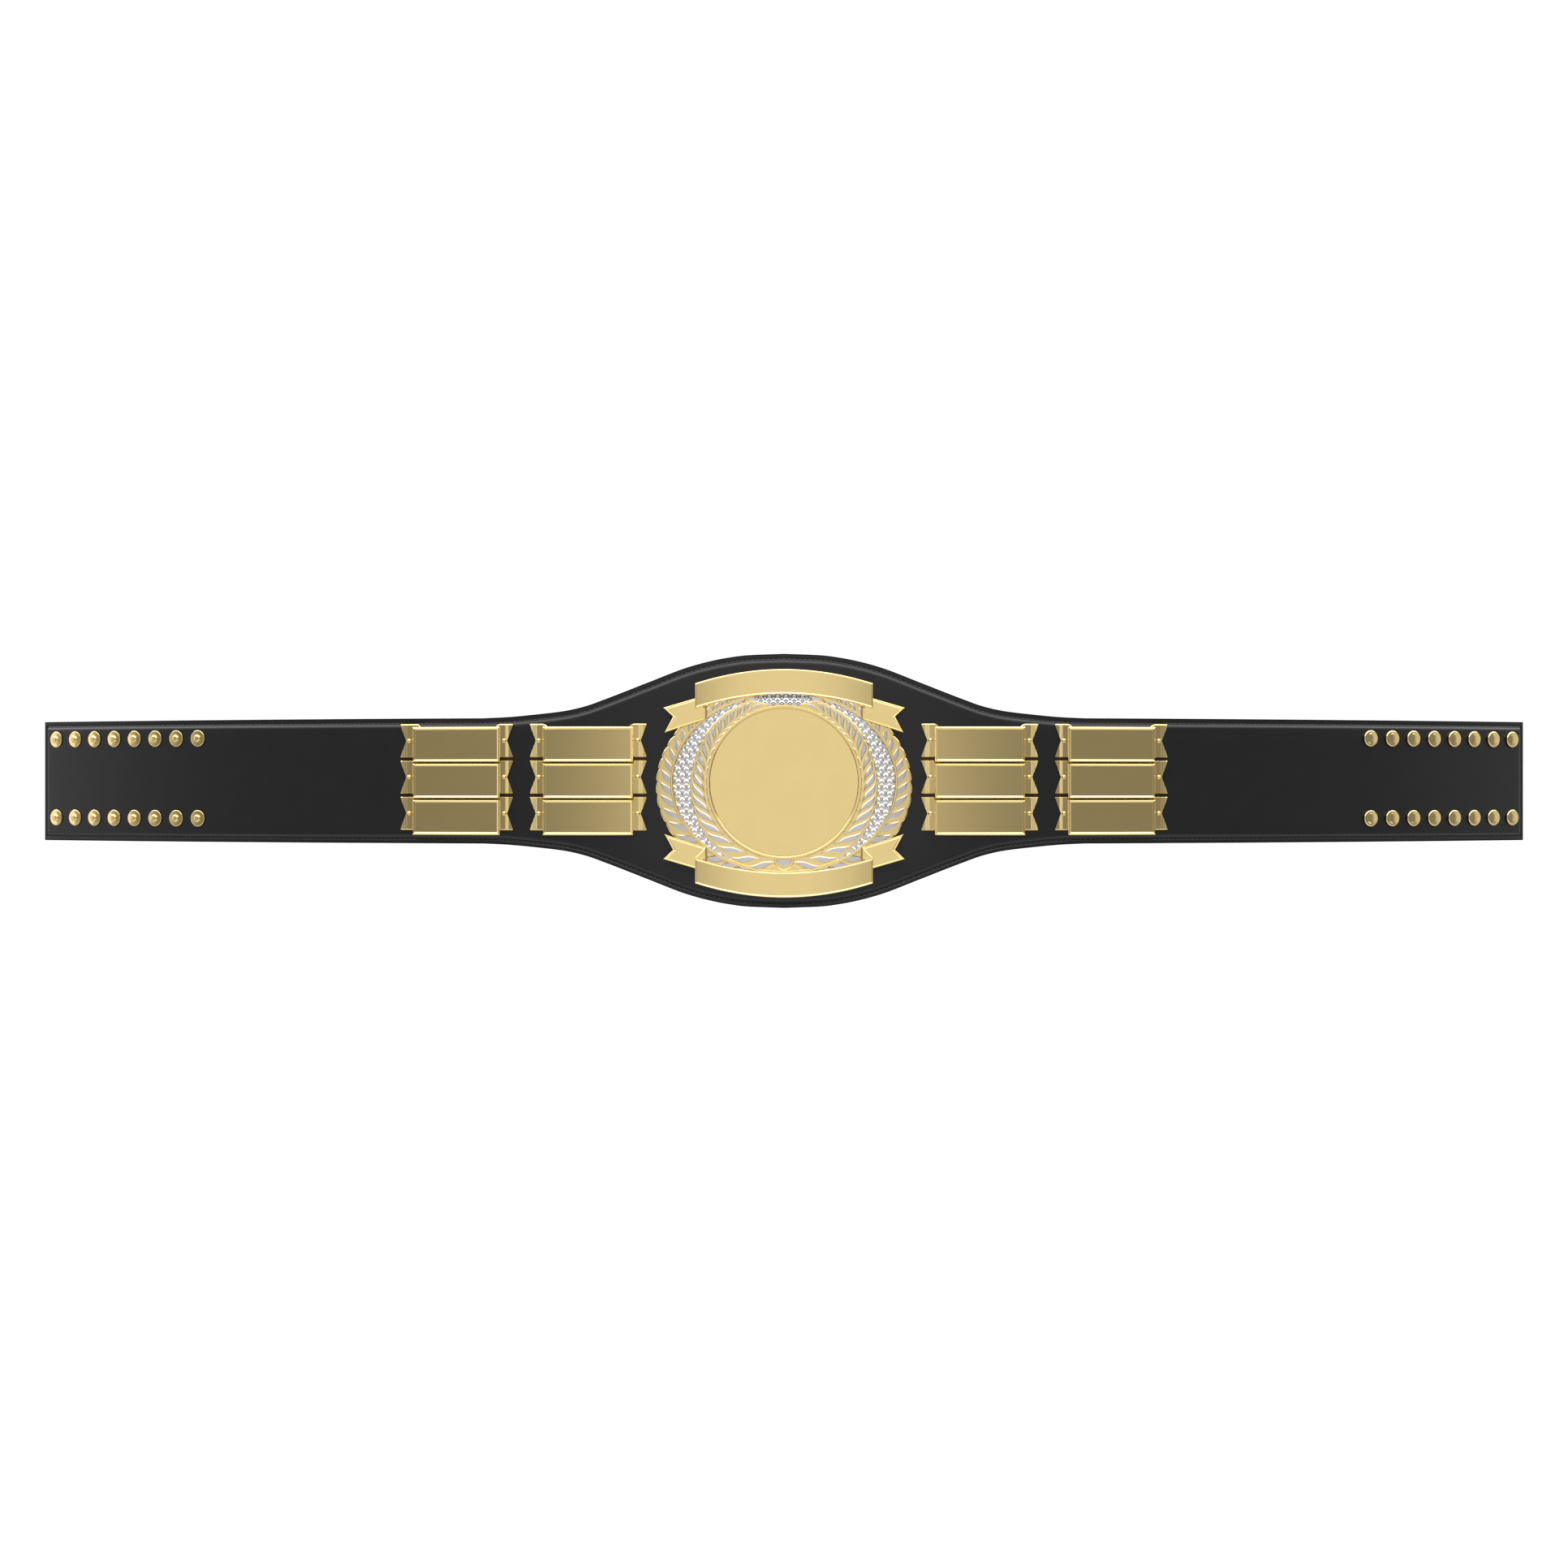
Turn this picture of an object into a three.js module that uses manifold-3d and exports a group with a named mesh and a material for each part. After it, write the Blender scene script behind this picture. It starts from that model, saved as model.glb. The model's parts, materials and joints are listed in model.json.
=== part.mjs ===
// Championship title belt: a padded leather strap with cast plates and snap fasteners.
// Millimetres. +X is to the right seen from the front, the front faces -Y, and +Z is up.
// The origin is on the strap's back face, at the middle of its length and of its width.
// Flat layout: s runs along the padded face, z is height, h is height above the padded face.
// Every piece is laid out flat and then bent onto the arc that the belt has round a waist.

import * as THREE from 'three';
import { mergeGeometries, mergeVertices } from 'three/addons/utils/BufferGeometryUtils.js';
import Module from 'manifold-3d';

// Strap
const STRAP_LENGTH = 1349;
const STRAP_WIDTH = 101.6;
const MIDDLE_MARGIN = 10.8;
const WIDE_HALF_LENGTH = 245;
const PAD_THICKNESS = 7;
const BORDER_THICKNESS = 4;
const BORDER_WIDTH = 5.2;
const SHOULDER_WIDTH = 4;
const FACE_RADIUS = 1175;

// Clearances
const SEAT_GAP = 0.3;
const HOLE_GAP = 0.3;

// Snaps
const SNAPS_PER_ROW = 8;
const SNAP_PITCH = 21.85;
const SNAP_FROM_END = 17.2;
const SNAP_ROW_SPACING = 66.7;
const SNAP_ROW_RISE = 2.2;
const SNAP_DIAMETER = 13.6;
const SNAP_BASE_HEIGHT = 1.1;
const SNAP_POST_DIAMETER = 6.4;
const SNAP_POST_HEIGHT = 3;
const SNAP_POST_HOLE = 1.8;
const SNAP_CAP_HEIGHT = 3.4;
const SNAP_CAP_SHOULDER = { out: 0.72, up: 0.78 };
const SNAP_SHANK_DIAMETER = 4;
const SNAP_BACK_DIAMETER = 11;
const SNAP_BACK_HEIGHT = 1.2;
const SNAP_SOCKET_DEPTH = 3.2;
const SNAP_SOCKET_FLOOR = 0.6;
const SNAP_SOCKET_CLEARANCE = 0.2;

// Side plates
const COLUMN_START = 157.9;
const COLUMN_PITCH = 109.6;
const ROW_PITCH = 29.4;
const PANEL_LENGTH = 74;
const PANEL_HEIGHT = 28.5;
const PANEL_THICKNESS = 3.6;
const PANEL_RECESS = 1;
const PANEL_RIM_BEVEL = 0.6;
const PANEL_RIM_WIDTH = 2.3;
const TAIL_REACH = 10.9;
const TAIL_HEIGHT = 26.9;
const TAIL_RISE = 3.1;
const TAIL_THICKNESS = 1.6;
const TAIL_NOTCH = 5.1;
const TAIL_TUCK = 7;
const RIVET_OUT = 3;
const RIVET_HEAD_DIAMETER = 3.6;
const RIVET_HEAD_HEIGHT = 1.2;
const RIVET_SHANK_DIAMETER = 2;
const RIVET_SHANK_DEPTH = 4;

// Centre plate
const PLATE_DROP = 1.2;
const BACKING_THICKNESS = 2;
const POST_DIAMETER = 5;
const POST_DEPTH = 5;
const POST_INSET = 28.8;
const POST_UP = 26;
const RAIL_OVER_DISC = 14.2;
const RAIL_WIDTH = 2.3;
const RAIL_THICKNESS = 2.4;
const RAIL_BEVEL = 0.5;

// Disc and its rim
const DISC_DIAMETER = 118;
const DISC_THICKNESS = 2;
const RIM_WIDTH = 2.4;
const RIM_ABOVE_DISC = 1.1;
const RIM_BEVEL = 0.6;

// Inner laurel, round the disc
const INNER_LEAVES = 16;
const INNER_LAUREL_WIDTH = 13.3;
const INNER_LAUREL_DROP = 2.5;
const INNER_LAUREL_THICKNESS = 2;
const INNER_START_ANGLE = 8;
const INNER_END_ANGLE = 150;
const INNER_LEAN_ANGLE = 16;
const LEAF_RIDGE = 0.9;
const LEAF_NOTCH = 1.6;
const LAUREL_TIP_WIDTH = 3;
const LAUREL_TIP_SHARE = 0.1;
const BUD_RADIUS = 7.4;
const BUD_RING_WIDTH = 1.5;
const BUD_THICKNESS = 2.2;
const BUD_BOSS = 0.7;
const BUD_WING_REACH = 0.9;
const WING_GAP = 0.8;

// Outer laurel, outside the rail
const OUTER_LEAVES = 18;
const OUTER_LAUREL_WIDTH = 11.8;
const OUTER_LAUREL_END_WIDTH = 3.8;
const OUTER_LAUREL_THICKNESS = 3.1;
const OUTER_START_ANGLE = 34;
const OUTER_END_ANGLE = 138;
const OUTER_LEAN_ANGLE = 4;

// Stones
const STONE_FIELD_WIDTH = 13.2;
const STONE_PITCH = 6.45;
const STONE_ROW_PITCH = 4.9;
const STONE_BED = 0.9;
const STONE_CROWN = 1.2;
const STONE_TABLE_SHARE = 0.5;
const STONE_MIN_ROOM = 2.5;
const STONE_SIDE_END_ANGLE = 148;
const STONE_WINDOW_START_ANGLE = 158;

// Banners
const BANNER_HALF_LENGTH = 70.8;
const BANNER_HEIGHT = 19.8;
const BANNER_SAG = 11.3;
const BANNER_OVER_RAIL = 8.1;
const BANNER_DROP = 0.8;
const BANNER_THICKNESS = 1.7;
const BANNER_LIFT = 1.3;
const BANNER_END_FALL = 1;
const BANNER_TAIL_THICKNESS = 1.3;

// Rise of the strap's outline in its wide middle. along: share of WIDE_HALF_LENGTH from the
// centre. rise: share of the difference between the middle's and the strap's half widths.
const WIDENING = [
  { along: 0, rise: 1 },
  { along: 0.12, rise: 0.978 },
  { along: 0.19, rise: 0.935 },
  { along: 0.25, rise: 0.877 },
  { along: 0.32, rise: 0.785 },
  { along: 0.45, rise: 0.55 },
  { along: 0.59, rise: 0.295 },
  { along: 0.66, rise: 0.18 },
  { along: 0.73, rise: 0.108 },
  { along: 0.83, rise: 0.054 },
  { along: 0.92, rise: 0.017 },
  { along: 1, rise: 0 },
];

// Padding profile. out: share of SHOULDER_WIDTH inside the border. up: share of the padding's rise.
const SHOULDER = [
  { out: 0, up: 0 },
  { out: 0.3, up: 0.62 },
  { out: 1, up: 1 },
];

// Outline of the top banner's right tail, from its root under the ribbon's end.
// out: share of BANNER_HALF_LENGTH. up: share of BANNER_MIDDLE.
const BANNER_TAIL = [
  { out: 0.881, up: 0.629 },
  { out: 1.345, up: 0.499 },
  { out: 1.247, up: 0.655 },
  { out: 1.357, up: 0.744 },
  { out: 0.881, up: 0.867 },
];

// Number of straight steps
const STRAP_STEPS = 11;
const WIDE_STEPS = 12;
const RING_STEPS = 32;
const SNAP_SIDES = 8;
const HOLE_SIDES = 6;
const RIVET_SIDES = 6;
const BACKING_STEPS = 14;
const BANNER_STEPS = 10;
const BUD_STEPS = 8;

// Corners closer together than this are one corner.
const WELD = 1e-3;

// Places that follow from the sizes
const STEM_REACH = DISC_DIAMETER / 2 + RIM_WIDTH + 2 * SEAT_GAP;
const INNER_LAUREL_RADIUS = STEM_REACH + INNER_LAUREL_WIDTH;
const RAIL_HALF_LENGTH = INNER_LAUREL_RADIUS + STONE_FIELD_WIDTH + RAIL_WIDTH;
const RAIL_HALF_HEIGHT = DISC_DIAMETER / 2 + RAIL_OVER_DISC;
const OUTER_LAUREL_HALF_LENGTH = RAIL_HALF_LENGTH + OUTER_LAUREL_WIDTH;
const OUTER_LAUREL_HALF_HEIGHT = RAIL_HALF_HEIGHT + OUTER_LAUREL_END_WIDTH;
const BANNER_MIDDLE = RAIL_HALF_HEIGHT + BANNER_OVER_RAIL;
const MIDDLE_WIDTH = 2 * (BANNER_MIDDLE + BANNER_HEIGHT / 2 + MIDDLE_MARGIN);
const POST_OUT = RAIL_HALF_LENGTH - POST_INSET;
const BACK_RADIUS = FACE_RADIUS - PAD_THICKNESS;
const ARC_CENTRE = new THREE.Vector3(0, BACK_RADIUS, 0);
const PLATE_TOP = SEAT_GAP + BACKING_THICKNESS;
const ON_PLATE = PLATE_TOP + SEAT_GAP;
const RAIL_TOP = ON_PLATE + RAIL_THICKNESS;

const wasm = await Module();
wasm.setup();

// Geometry helpers

// A closed mesh with its shared vertices merged, as a solid that can be joined and cut.
function toSolid(geometry) {
  const bare = new THREE.BufferGeometry();
  bare.setAttribute('position', geometry.getAttribute('position').clone());
  if (geometry.index) bare.setIndex(geometry.index.clone());
  const merged = mergeVertices(bare, WELD);
  return new wasm.Manifold(new wasm.Mesh({
    numProp: 3,
    vertProperties: new Float32Array(merged.getAttribute('position').array),
    triVerts: new Uint32Array(merged.index.array),
  }));
}

function toGeometry(solid) {
  const mesh = solid.getMesh();
  const geometry = new THREE.BufferGeometry();
  geometry.setAttribute('position', new THREE.BufferAttribute(new Float32Array(mesh.vertProperties), 3));
  geometry.setIndex(new THREE.BufferAttribute(new Uint32Array(mesh.triVerts), 1));
  return geometry;
}

function joined(geometries) {
  return toGeometry(geometries.map(toSolid).reduce((whole, piece) => whole.add(piece)));
}

function meshFrom(points, triangles) {
  const geometry = new THREE.BufferGeometry().setFromPoints(points);
  geometry.setIndex(triangles.flat());
  return geometry;
}

// A point of the flat layout.
function at(s, z, h) {
  return new THREE.Vector3(s, -h, z);
}

// Skin over rings of equal length. An open run of rings is capped by fans from each ring's first point.
function loft(rings, closed = false) {
  const count = rings[0].length;
  const triangles = [];
  const last = closed ? rings.length : rings.length - 1;
  for (let i = 0; i < last; i += 1) {
    const here = i * count;
    const next = ((i + 1) % rings.length) * count;
    for (let j = 0; j < count; j += 1) {
      const k = (j + 1) % count;
      triangles.push([here + j, next + k, next + j], [here + j, here + k, next + k]);
    }
  }
  if (!closed) {
    const end = (rings.length - 1) * count;
    for (let j = 1; j < count - 1; j += 1) {
      triangles.push([0, j + 1, j], [end, end + j, end + j + 1]);
    }
  }
  return outward(meshFrom(rings.flat(), triangles));
}

// The same mesh with its faces pointing out, whichever way its rings were listed.
function outward(geometry) {
  const position = geometry.getAttribute('position');
  const index = geometry.index.array;
  const [a, b, c] = [new THREE.Vector3(), new THREE.Vector3(), new THREE.Vector3()];
  let volume = 0;
  for (let i = 0; i < index.length; i += 3) {
    a.fromBufferAttribute(position, index[i]);
    b.fromBufferAttribute(position, index[i + 1]);
    c.fromBufferAttribute(position, index[i + 2]);
    volume += a.dot(b.cross(c));
  }
  if (volume < 0) {
    for (let i = 0; i < index.length; i += 3) {
      [index[i + 1], index[i + 2]] = [index[i + 2], index[i + 1]];
    }
  }
  return geometry;
}

// A plate of even thickness from an outline in s and z.
function prism(outline, low, high) {
  const shape = new THREE.Shape(outline.map(([s, z]) => new THREE.Vector2(s, z)));
  const geometry = new THREE.ExtrudeGeometry(shape, { depth: high - low, bevelEnabled: false });
  return geometry.translate(0, 0, low).rotateX(Math.PI / 2);
}

// A turned piece whose axis stands out of the strap's face. Each point of the profile is [radius, h].
function turned(profile, sides) {
  const points = profile.map(([radius, height]) => new THREE.Vector2(radius, height));
  return new THREE.LatheGeometry(points, sides).rotateX(Math.PI);
}

// Bends the flat layout onto the arc.
function bend(geometry) {
  const position = geometry.getAttribute('position');
  for (let i = 0; i < position.count; i += 1) {
    const turn = position.getX(i) / FACE_RADIUS;
    const radius = FACE_RADIUS - position.getY(i);
    position.setX(i, radius * Math.sin(turn));
    position.setY(i, ARC_CENTRE.y - radius * Math.cos(turn));
  }
  return geometry;
}

function material(color, roughness, metalness) {
  return new THREE.MeshStandardMaterial({ color, roughness, metalness });
}

const LEATHER = material(0x232323, 0.55, 0);
const GOLD = material(0xe3cb8d, 0.35, 1);
const ANTIQUE_GOLD = material(0x867751, 0.4, 1);
const BRIGHT_GOLD = material(0xe9c463, 0.15, 1);
const SILVER = material(0xc9c9cc, 0.2, 1);

function named(name, geometry, look) {
  const mesh = new THREE.Mesh(geometry, look);
  mesh.name = name;
  return mesh;
}

// Places a piece made at the middle of the arc at a distance along the strap and a height.
function onArc(mesh, s, z) {
  const pivot = new THREE.Group();
  pivot.position.copy(ARC_CENTRE);
  pivot.rotation.z = s / FACE_RADIUS;
  mesh.position.set(0, -ARC_CENTRE.y, z);
  pivot.add(mesh);
  return pivot;
}

function spread(from, to, steps) {
  return Array.from({ length: steps + 1 }, (_, i) => from + ((to - from) * i) / steps);
}

// Strap

function halfWidth(s) {
  const share = Math.min(Math.abs(s) / WIDE_HALF_LENGTH, 1);
  const next = Math.max(1, WIDENING.findIndex((row) => row.along >= share));
  const before = WIDENING[next - 1];
  const after = WIDENING[next];
  const mix = (share - before.along) / (after.along - before.along);
  const rise = THREE.MathUtils.lerp(before.rise, after.rise, mix);
  return STRAP_WIDTH / 2 + (rise * (MIDDLE_WIDTH - STRAP_WIDTH)) / 2;
}

function strapStations() {
  const end = STRAP_LENGTH / 2;
  const shoulders = SHOULDER.map((row) => end - BORDER_WIDTH - row.out * SHOULDER_WIDTH);
  const plain = spread(shoulders.at(-1), WIDE_HALF_LENGTH, STRAP_STEPS).slice(1);
  const wide = spread(WIDE_HALF_LENGTH, 0, WIDE_STEPS).slice(1);
  const right = [end, ...shoulders, ...plain, ...wide];
  const left = right.slice(0, -1).map((s) => -s);
  return [...left, ...right.reverse()];
}

// Height of the front surface below the padded face, at a distance in from the strap's edge.
function paddingHeight(inset) {
  const fall = BORDER_THICKNESS - PAD_THICKNESS;
  const out = (inset - BORDER_WIDTH) / SHOULDER_WIDTH;
  if (out <= 0) return fall;
  if (out >= 1) return 0;
  const next = SHOULDER.findIndex((row) => row.out > out);
  const before = SHOULDER[next - 1];
  const after = SHOULDER[next];
  const mix = (out - before.out) / (after.out - before.out);
  return fall * (1 - THREE.MathUtils.lerp(before.up, after.up, mix));
}

function strapSection(s) {
  const half = halfWidth(s);
  const fromEnd = STRAP_LENGTH / 2 - Math.abs(s);
  const insets = [0, ...SHOULDER.map((row) => BORDER_WIDTH + row.out * SHOULDER_WIDTH)];
  const upper = insets.map((inset) => at(s, half - inset, paddingHeight(Math.min(inset, fromEnd))));
  const lower = upper.map((point) => new THREE.Vector3(point.x, point.y, -point.z)).reverse();
  return [at(s, half, -PAD_THICKNESS), ...upper, ...lower, at(s, -half, -PAD_THICKNESS)];
}

// A cutter for the hole of a round shank, down to a depth below the padded face.
function holeCutter(shankDiameter, depth, s, z) {
  const clear = 2 * PAD_THICKNESS;
  const radius = (shankDiameter / 2 + HOLE_GAP) / Math.cos(Math.PI / HOLE_SIDES);
  const cutter = new THREE.CylinderGeometry(radius, radius, clear + depth, HOLE_SIDES);
  cutter.deleteAttribute('uv');
  cutter.translate(0, -PAD_THICKNESS - clear + (clear + depth) / 2, z);
  return cutter.applyMatrix4(arcMatrix(s));
}

function arcMatrix(s) {
  const toCentre = new THREE.Matrix4().makeTranslation(0, -ARC_CENTRE.y, 0);
  const turn = new THREE.Matrix4().makeRotationZ(s / FACE_RADIUS);
  const back = new THREE.Matrix4().makeTranslation(0, ARC_CENTRE.y, 0);
  return back.multiply(turn).multiply(toCentre);
}

function snapPlaces(side) {
  const places = [];
  for (const row of [1, -1]) {
    for (let i = 0; i < SNAPS_PER_ROW; i += 1) {
      const s = side * (STRAP_LENGTH / 2 - SNAP_FROM_END - i * SNAP_PITCH);
      places.push({ s, z: SNAP_ROW_RISE + (row * SNAP_ROW_SPACING) / 2 });
    }
  }
  return places;
}

function sidePlatePlaces() {
  const columns = [COLUMN_START, COLUMN_START + COLUMN_PITCH];
  const across = [...columns.map((s) => -s).reverse(), ...columns];
  return across.flatMap((s) => [1, 0, -1].map((row) => ({ s, z: row * ROW_PITCH })));
}

function rivetPlaces() {
  const out = PANEL_LENGTH / 2 + RIVET_OUT;
  return [-out, out].map((s) => ({ s, z: TAIL_RISE }));
}

function postPlaces() {
  return [-1, 1].flatMap((x) => [-1, 1].map((z) => ({ s: x * POST_OUT, z: z * POST_UP - PLATE_DROP })));
}

function strap() {
  const body = toSolid(bend(loft(strapStations().map(strapSection))));
  const cutters = [...snapPlaces(-1), ...snapPlaces(1)].map(
    ({ s, z }) => holeCutter(SNAP_SHANK_DIAMETER, 2 * PAD_THICKNESS, s, z),
  );
  for (const plate of sidePlatePlaces()) {
    for (const rivet of rivetPlaces()) {
      const depth = RIVET_SHANK_DEPTH + HOLE_GAP;
      cutters.push(holeCutter(RIVET_SHANK_DIAMETER, depth, plate.s + rivet.s, plate.z + rivet.z));
    }
  }
  for (const { s, z } of postPlaces()) {
    cutters.push(holeCutter(POST_DIAMETER, POST_DEPTH + HOLE_GAP, s, z));
  }
  return named('strap', toGeometry(body.subtract(toSolid(mergeGeometries(cutters)))), LEATHER);
}

// Snaps

const UNDER_STRAP = -PAD_THICKNESS - SEAT_GAP;

function snapPostProfile() {
  const base = SNAP_DIAMETER / 2;
  const shank = SNAP_SHANK_DIAMETER / 2;
  return [
    [0, SEAT_GAP],
    [SNAP_POST_HOLE / 2, SNAP_POST_HEIGHT],
    [SNAP_POST_DIAMETER / 2, SNAP_POST_HEIGHT],
    [SNAP_POST_DIAMETER / 2, SNAP_BASE_HEIGHT],
    [base, SEAT_GAP],
    [shank, SEAT_GAP],
    [shank, UNDER_STRAP],
    [SNAP_BACK_DIAMETER / 2, UNDER_STRAP],
    [0, UNDER_STRAP - SNAP_BACK_HEIGHT],
  ].reverse();
}

function snapCapProfile() {
  const rim = SNAP_DIAMETER / 2;
  const shank = SNAP_SHANK_DIAMETER / 2;
  const bore = SNAP_POST_DIAMETER / 2 + SNAP_SOCKET_CLEARANCE;
  return [
    [0, SNAP_CAP_HEIGHT],
    [rim * SNAP_CAP_SHOULDER.out, SNAP_CAP_HEIGHT * SNAP_CAP_SHOULDER.up],
    [rim, SEAT_GAP],
    [shank, SEAT_GAP],
    [shank, UNDER_STRAP],
    [SNAP_BACK_DIAMETER / 2, UNDER_STRAP],
    [SNAP_BACK_DIAMETER / 2, UNDER_STRAP - SNAP_SOCKET_DEPTH],
    [bore, UNDER_STRAP - SNAP_SOCKET_DEPTH],
    [0, UNDER_STRAP - SNAP_SOCKET_FLOOR],
  ].reverse();
}

function snaps(name, side, profile) {
  const geometry = toGeometry(toSolid(bend(turned(profile, SNAP_SIDES))));
  return snapPlaces(side).map(({ s, z }, i) => {
    const number = String(i + 1).padStart(2, '0');
    return onArc(named(`${name}_${number}`, geometry, BRIGHT_GOLD), s, z);
  });
}

// Side plates

// A rectangle of the panel at an inset from its edge, with middle points so that it can bend.
function panelRing(inset, h) {
  const s = PANEL_LENGTH / 2 - inset;
  const z = PANEL_HEIGHT / 2 - inset;
  return [at(0, -z, h), at(s, -z, h), at(s, z, h), at(0, z, h), at(-s, z, h), at(-s, -z, h)];
}

function panel() {
  const top = SEAT_GAP + PANEL_THICKNESS;
  return loft([
    panelRing(0, SEAT_GAP),
    panelRing(0, top - PANEL_RIM_BEVEL),
    panelRing(PANEL_RIM_BEVEL, top),
    panelRing(PANEL_RIM_WIDTH - PANEL_RECESS, top),
    panelRing(PANEL_RIM_WIDTH, top - PANEL_RECESS),
  ]);
}

// A swallow tail. Its root is tucked behind the panel and reaches up to tuckTop there.
function tail(side, tuckTop) {
  const edge = PANEL_LENGTH / 2;
  const tip = edge + TAIL_REACH;
  const low = TAIL_RISE - TAIL_HEIGHT / 2;
  const top = TAIL_RISE + TAIL_HEIGHT / 2;
  const outline = [
    [edge - TAIL_TUCK, low],
    [tip, low],
    [tip - TAIL_NOTCH, TAIL_RISE],
    [tip, top],
    [edge + SEAT_GAP, top],
    [edge + SEAT_GAP, tuckTop],
    [edge - TAIL_TUCK, tuckTop],
  ].map(([s, z]) => [side * s, z]);
  return prism(side > 0 ? outline : outline.reverse(), SEAT_GAP, SEAT_GAP + TAIL_THICKNESS);
}

// A domed rivet in a tail. Its shank ends in the leather, under the strap's lining.
function rivet({ s, z }) {
  const seat = SEAT_GAP + TAIL_THICKNESS;
  const root = seat - TAIL_THICKNESS / 2;
  const profile = [
    [0, -RIVET_SHANK_DEPTH],
    [RIVET_SHANK_DIAMETER / 2, -RIVET_SHANK_DEPTH],
    [RIVET_SHANK_DIAMETER / 2, root],
    [RIVET_HEAD_DIAMETER / 2, root],
    [RIVET_HEAD_DIAMETER / 2, seat + RIVET_HEAD_HEIGHT / 2],
    [0, seat + RIVET_HEAD_HEIGHT],
  ];
  return turned(profile, RIVET_SIDES).translate(s, 0, z);
}

function sidePlate(tuckTop) {
  const tails = [-1, 1].map((side) => tail(side, tuckTop));
  return bend(joined([panel(), ...tails, ...rivetPlaces().map(rivet)]));
}

// The top plate of a column shows its tucked ribbon above the panel. The others stop below the next panel.
function sidePlates() {
  const top = sidePlate(TAIL_RISE + TAIL_HEIGHT / 2);
  const lower = sidePlate(ROW_PITCH - PANEL_HEIGHT / 2 - SEAT_GAP);
  return sidePlatePlaces().map(({ s, z }, i) => {
    const number = String(i + 1).padStart(2, '0');
    return onArc(named(`side_plate_${number}`, z > 0 ? top : lower, ANTIQUE_GOLD), s, z);
  });
}

// Centre plate

function ellipseHeight(s, halfLength, halfHeight) {
  return halfHeight * Math.sqrt(Math.max(0, 1 - (s / halfLength) ** 2));
}

// Distance from the plate's centre to an ellipse, in the direction of an angle from straight down.
function ellipseReach(angle, halfLength, halfHeight) {
  return 1 / Math.hypot(Math.sin(angle) / halfLength, Math.cos(angle) / halfHeight);
}

// A point of the plate by its angle from straight down, on the left side or the right side.
function around(side, angle, reach, h) {
  return at(side * reach * Math.sin(angle), -reach * Math.cos(angle) - PLATE_DROP, h);
}

function backingPlate() {
  const rings = spread(0, Math.PI, BACKING_STEPS).slice(1, -1).map((turn) => {
    const s = -RAIL_HALF_LENGTH * Math.cos(turn);
    const z = ellipseHeight(s, RAIL_HALF_LENGTH, RAIL_HALF_HEIGHT);
    return [
      at(s, z - PLATE_DROP, SEAT_GAP), at(s, z - PLATE_DROP, PLATE_TOP),
      at(s, -z - PLATE_DROP, PLATE_TOP), at(s, -z - PLATE_DROP, SEAT_GAP),
    ];
  });
  const root = PLATE_TOP - BACKING_THICKNESS / 2;
  const post = [[0, -POST_DEPTH], [POST_DIAMETER / 2, -POST_DEPTH], [POST_DIAMETER / 2, root], [0, root]];
  const posts = postPlaces().map(({ s, z }) => turned(post, RIVET_SIDES).translate(s, 0, z));
  return named('backing_plate', bend(joined([loft(rings), ...posts])), GOLD);
}

function ovalRail() {
  const section = [
    [0, ON_PLATE], [RAIL_WIDTH, ON_PLATE],
    [RAIL_WIDTH - RAIL_BEVEL, RAIL_TOP], [RAIL_BEVEL, RAIL_TOP],
  ];
  const rings = spread(0, 2 * Math.PI, RING_STEPS).slice(0, -1).map((turn) => section.map(
    ([inset, h]) => at(
      (RAIL_HALF_LENGTH - inset) * Math.sin(turn),
      (RAIL_HALF_HEIGHT - inset) * Math.cos(turn) - PLATE_DROP,
      h,
    ),
  ));
  return named('oval_rail', bend(loft(rings, true)), GOLD);
}

// The disc is flat, so it and its rim's top stay flat and only the rim's foot follows the arc.
const DISC_FACE = ON_PLATE + DISC_THICKNESS;

function centreDisc() {
  const disc = new THREE.CylinderGeometry(DISC_DIAMETER / 2, DISC_DIAMETER / 2, DISC_THICKNESS, RING_STEPS);
  disc.translate(0, -ON_PLATE - DISC_THICKNESS / 2 - PAD_THICKNESS, -PLATE_DROP);
  return named('centre_disc', toGeometry(toSolid(disc)), GOLD);
}

function discRim() {
  const inner = DISC_DIAMETER / 2 + SEAT_GAP;
  const top = DISC_FACE + RIM_ABOVE_DISC;
  const section = [
    [inner, ON_PLATE], [inner + RIM_WIDTH, ON_PLATE],
    [inner + RIM_WIDTH - RIM_BEVEL, top], [inner + RIM_BEVEL, top],
  ];
  const rings = spread(0, 2 * Math.PI, RING_STEPS).slice(0, -1).map((turn) => section.map(
    ([radius, h]) => {
      const s = radius * Math.sin(turn);
      const foot = h > ON_PLATE ? h + (FACE_RADIUS + h) * (1 - Math.cos(s / FACE_RADIUS)) : h;
      return at(s, radius * Math.cos(turn) - PLATE_DROP, foot);
    },
  ));
  return named('disc_rim', bend(loft(rings, true)), GOLD);
}

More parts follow.
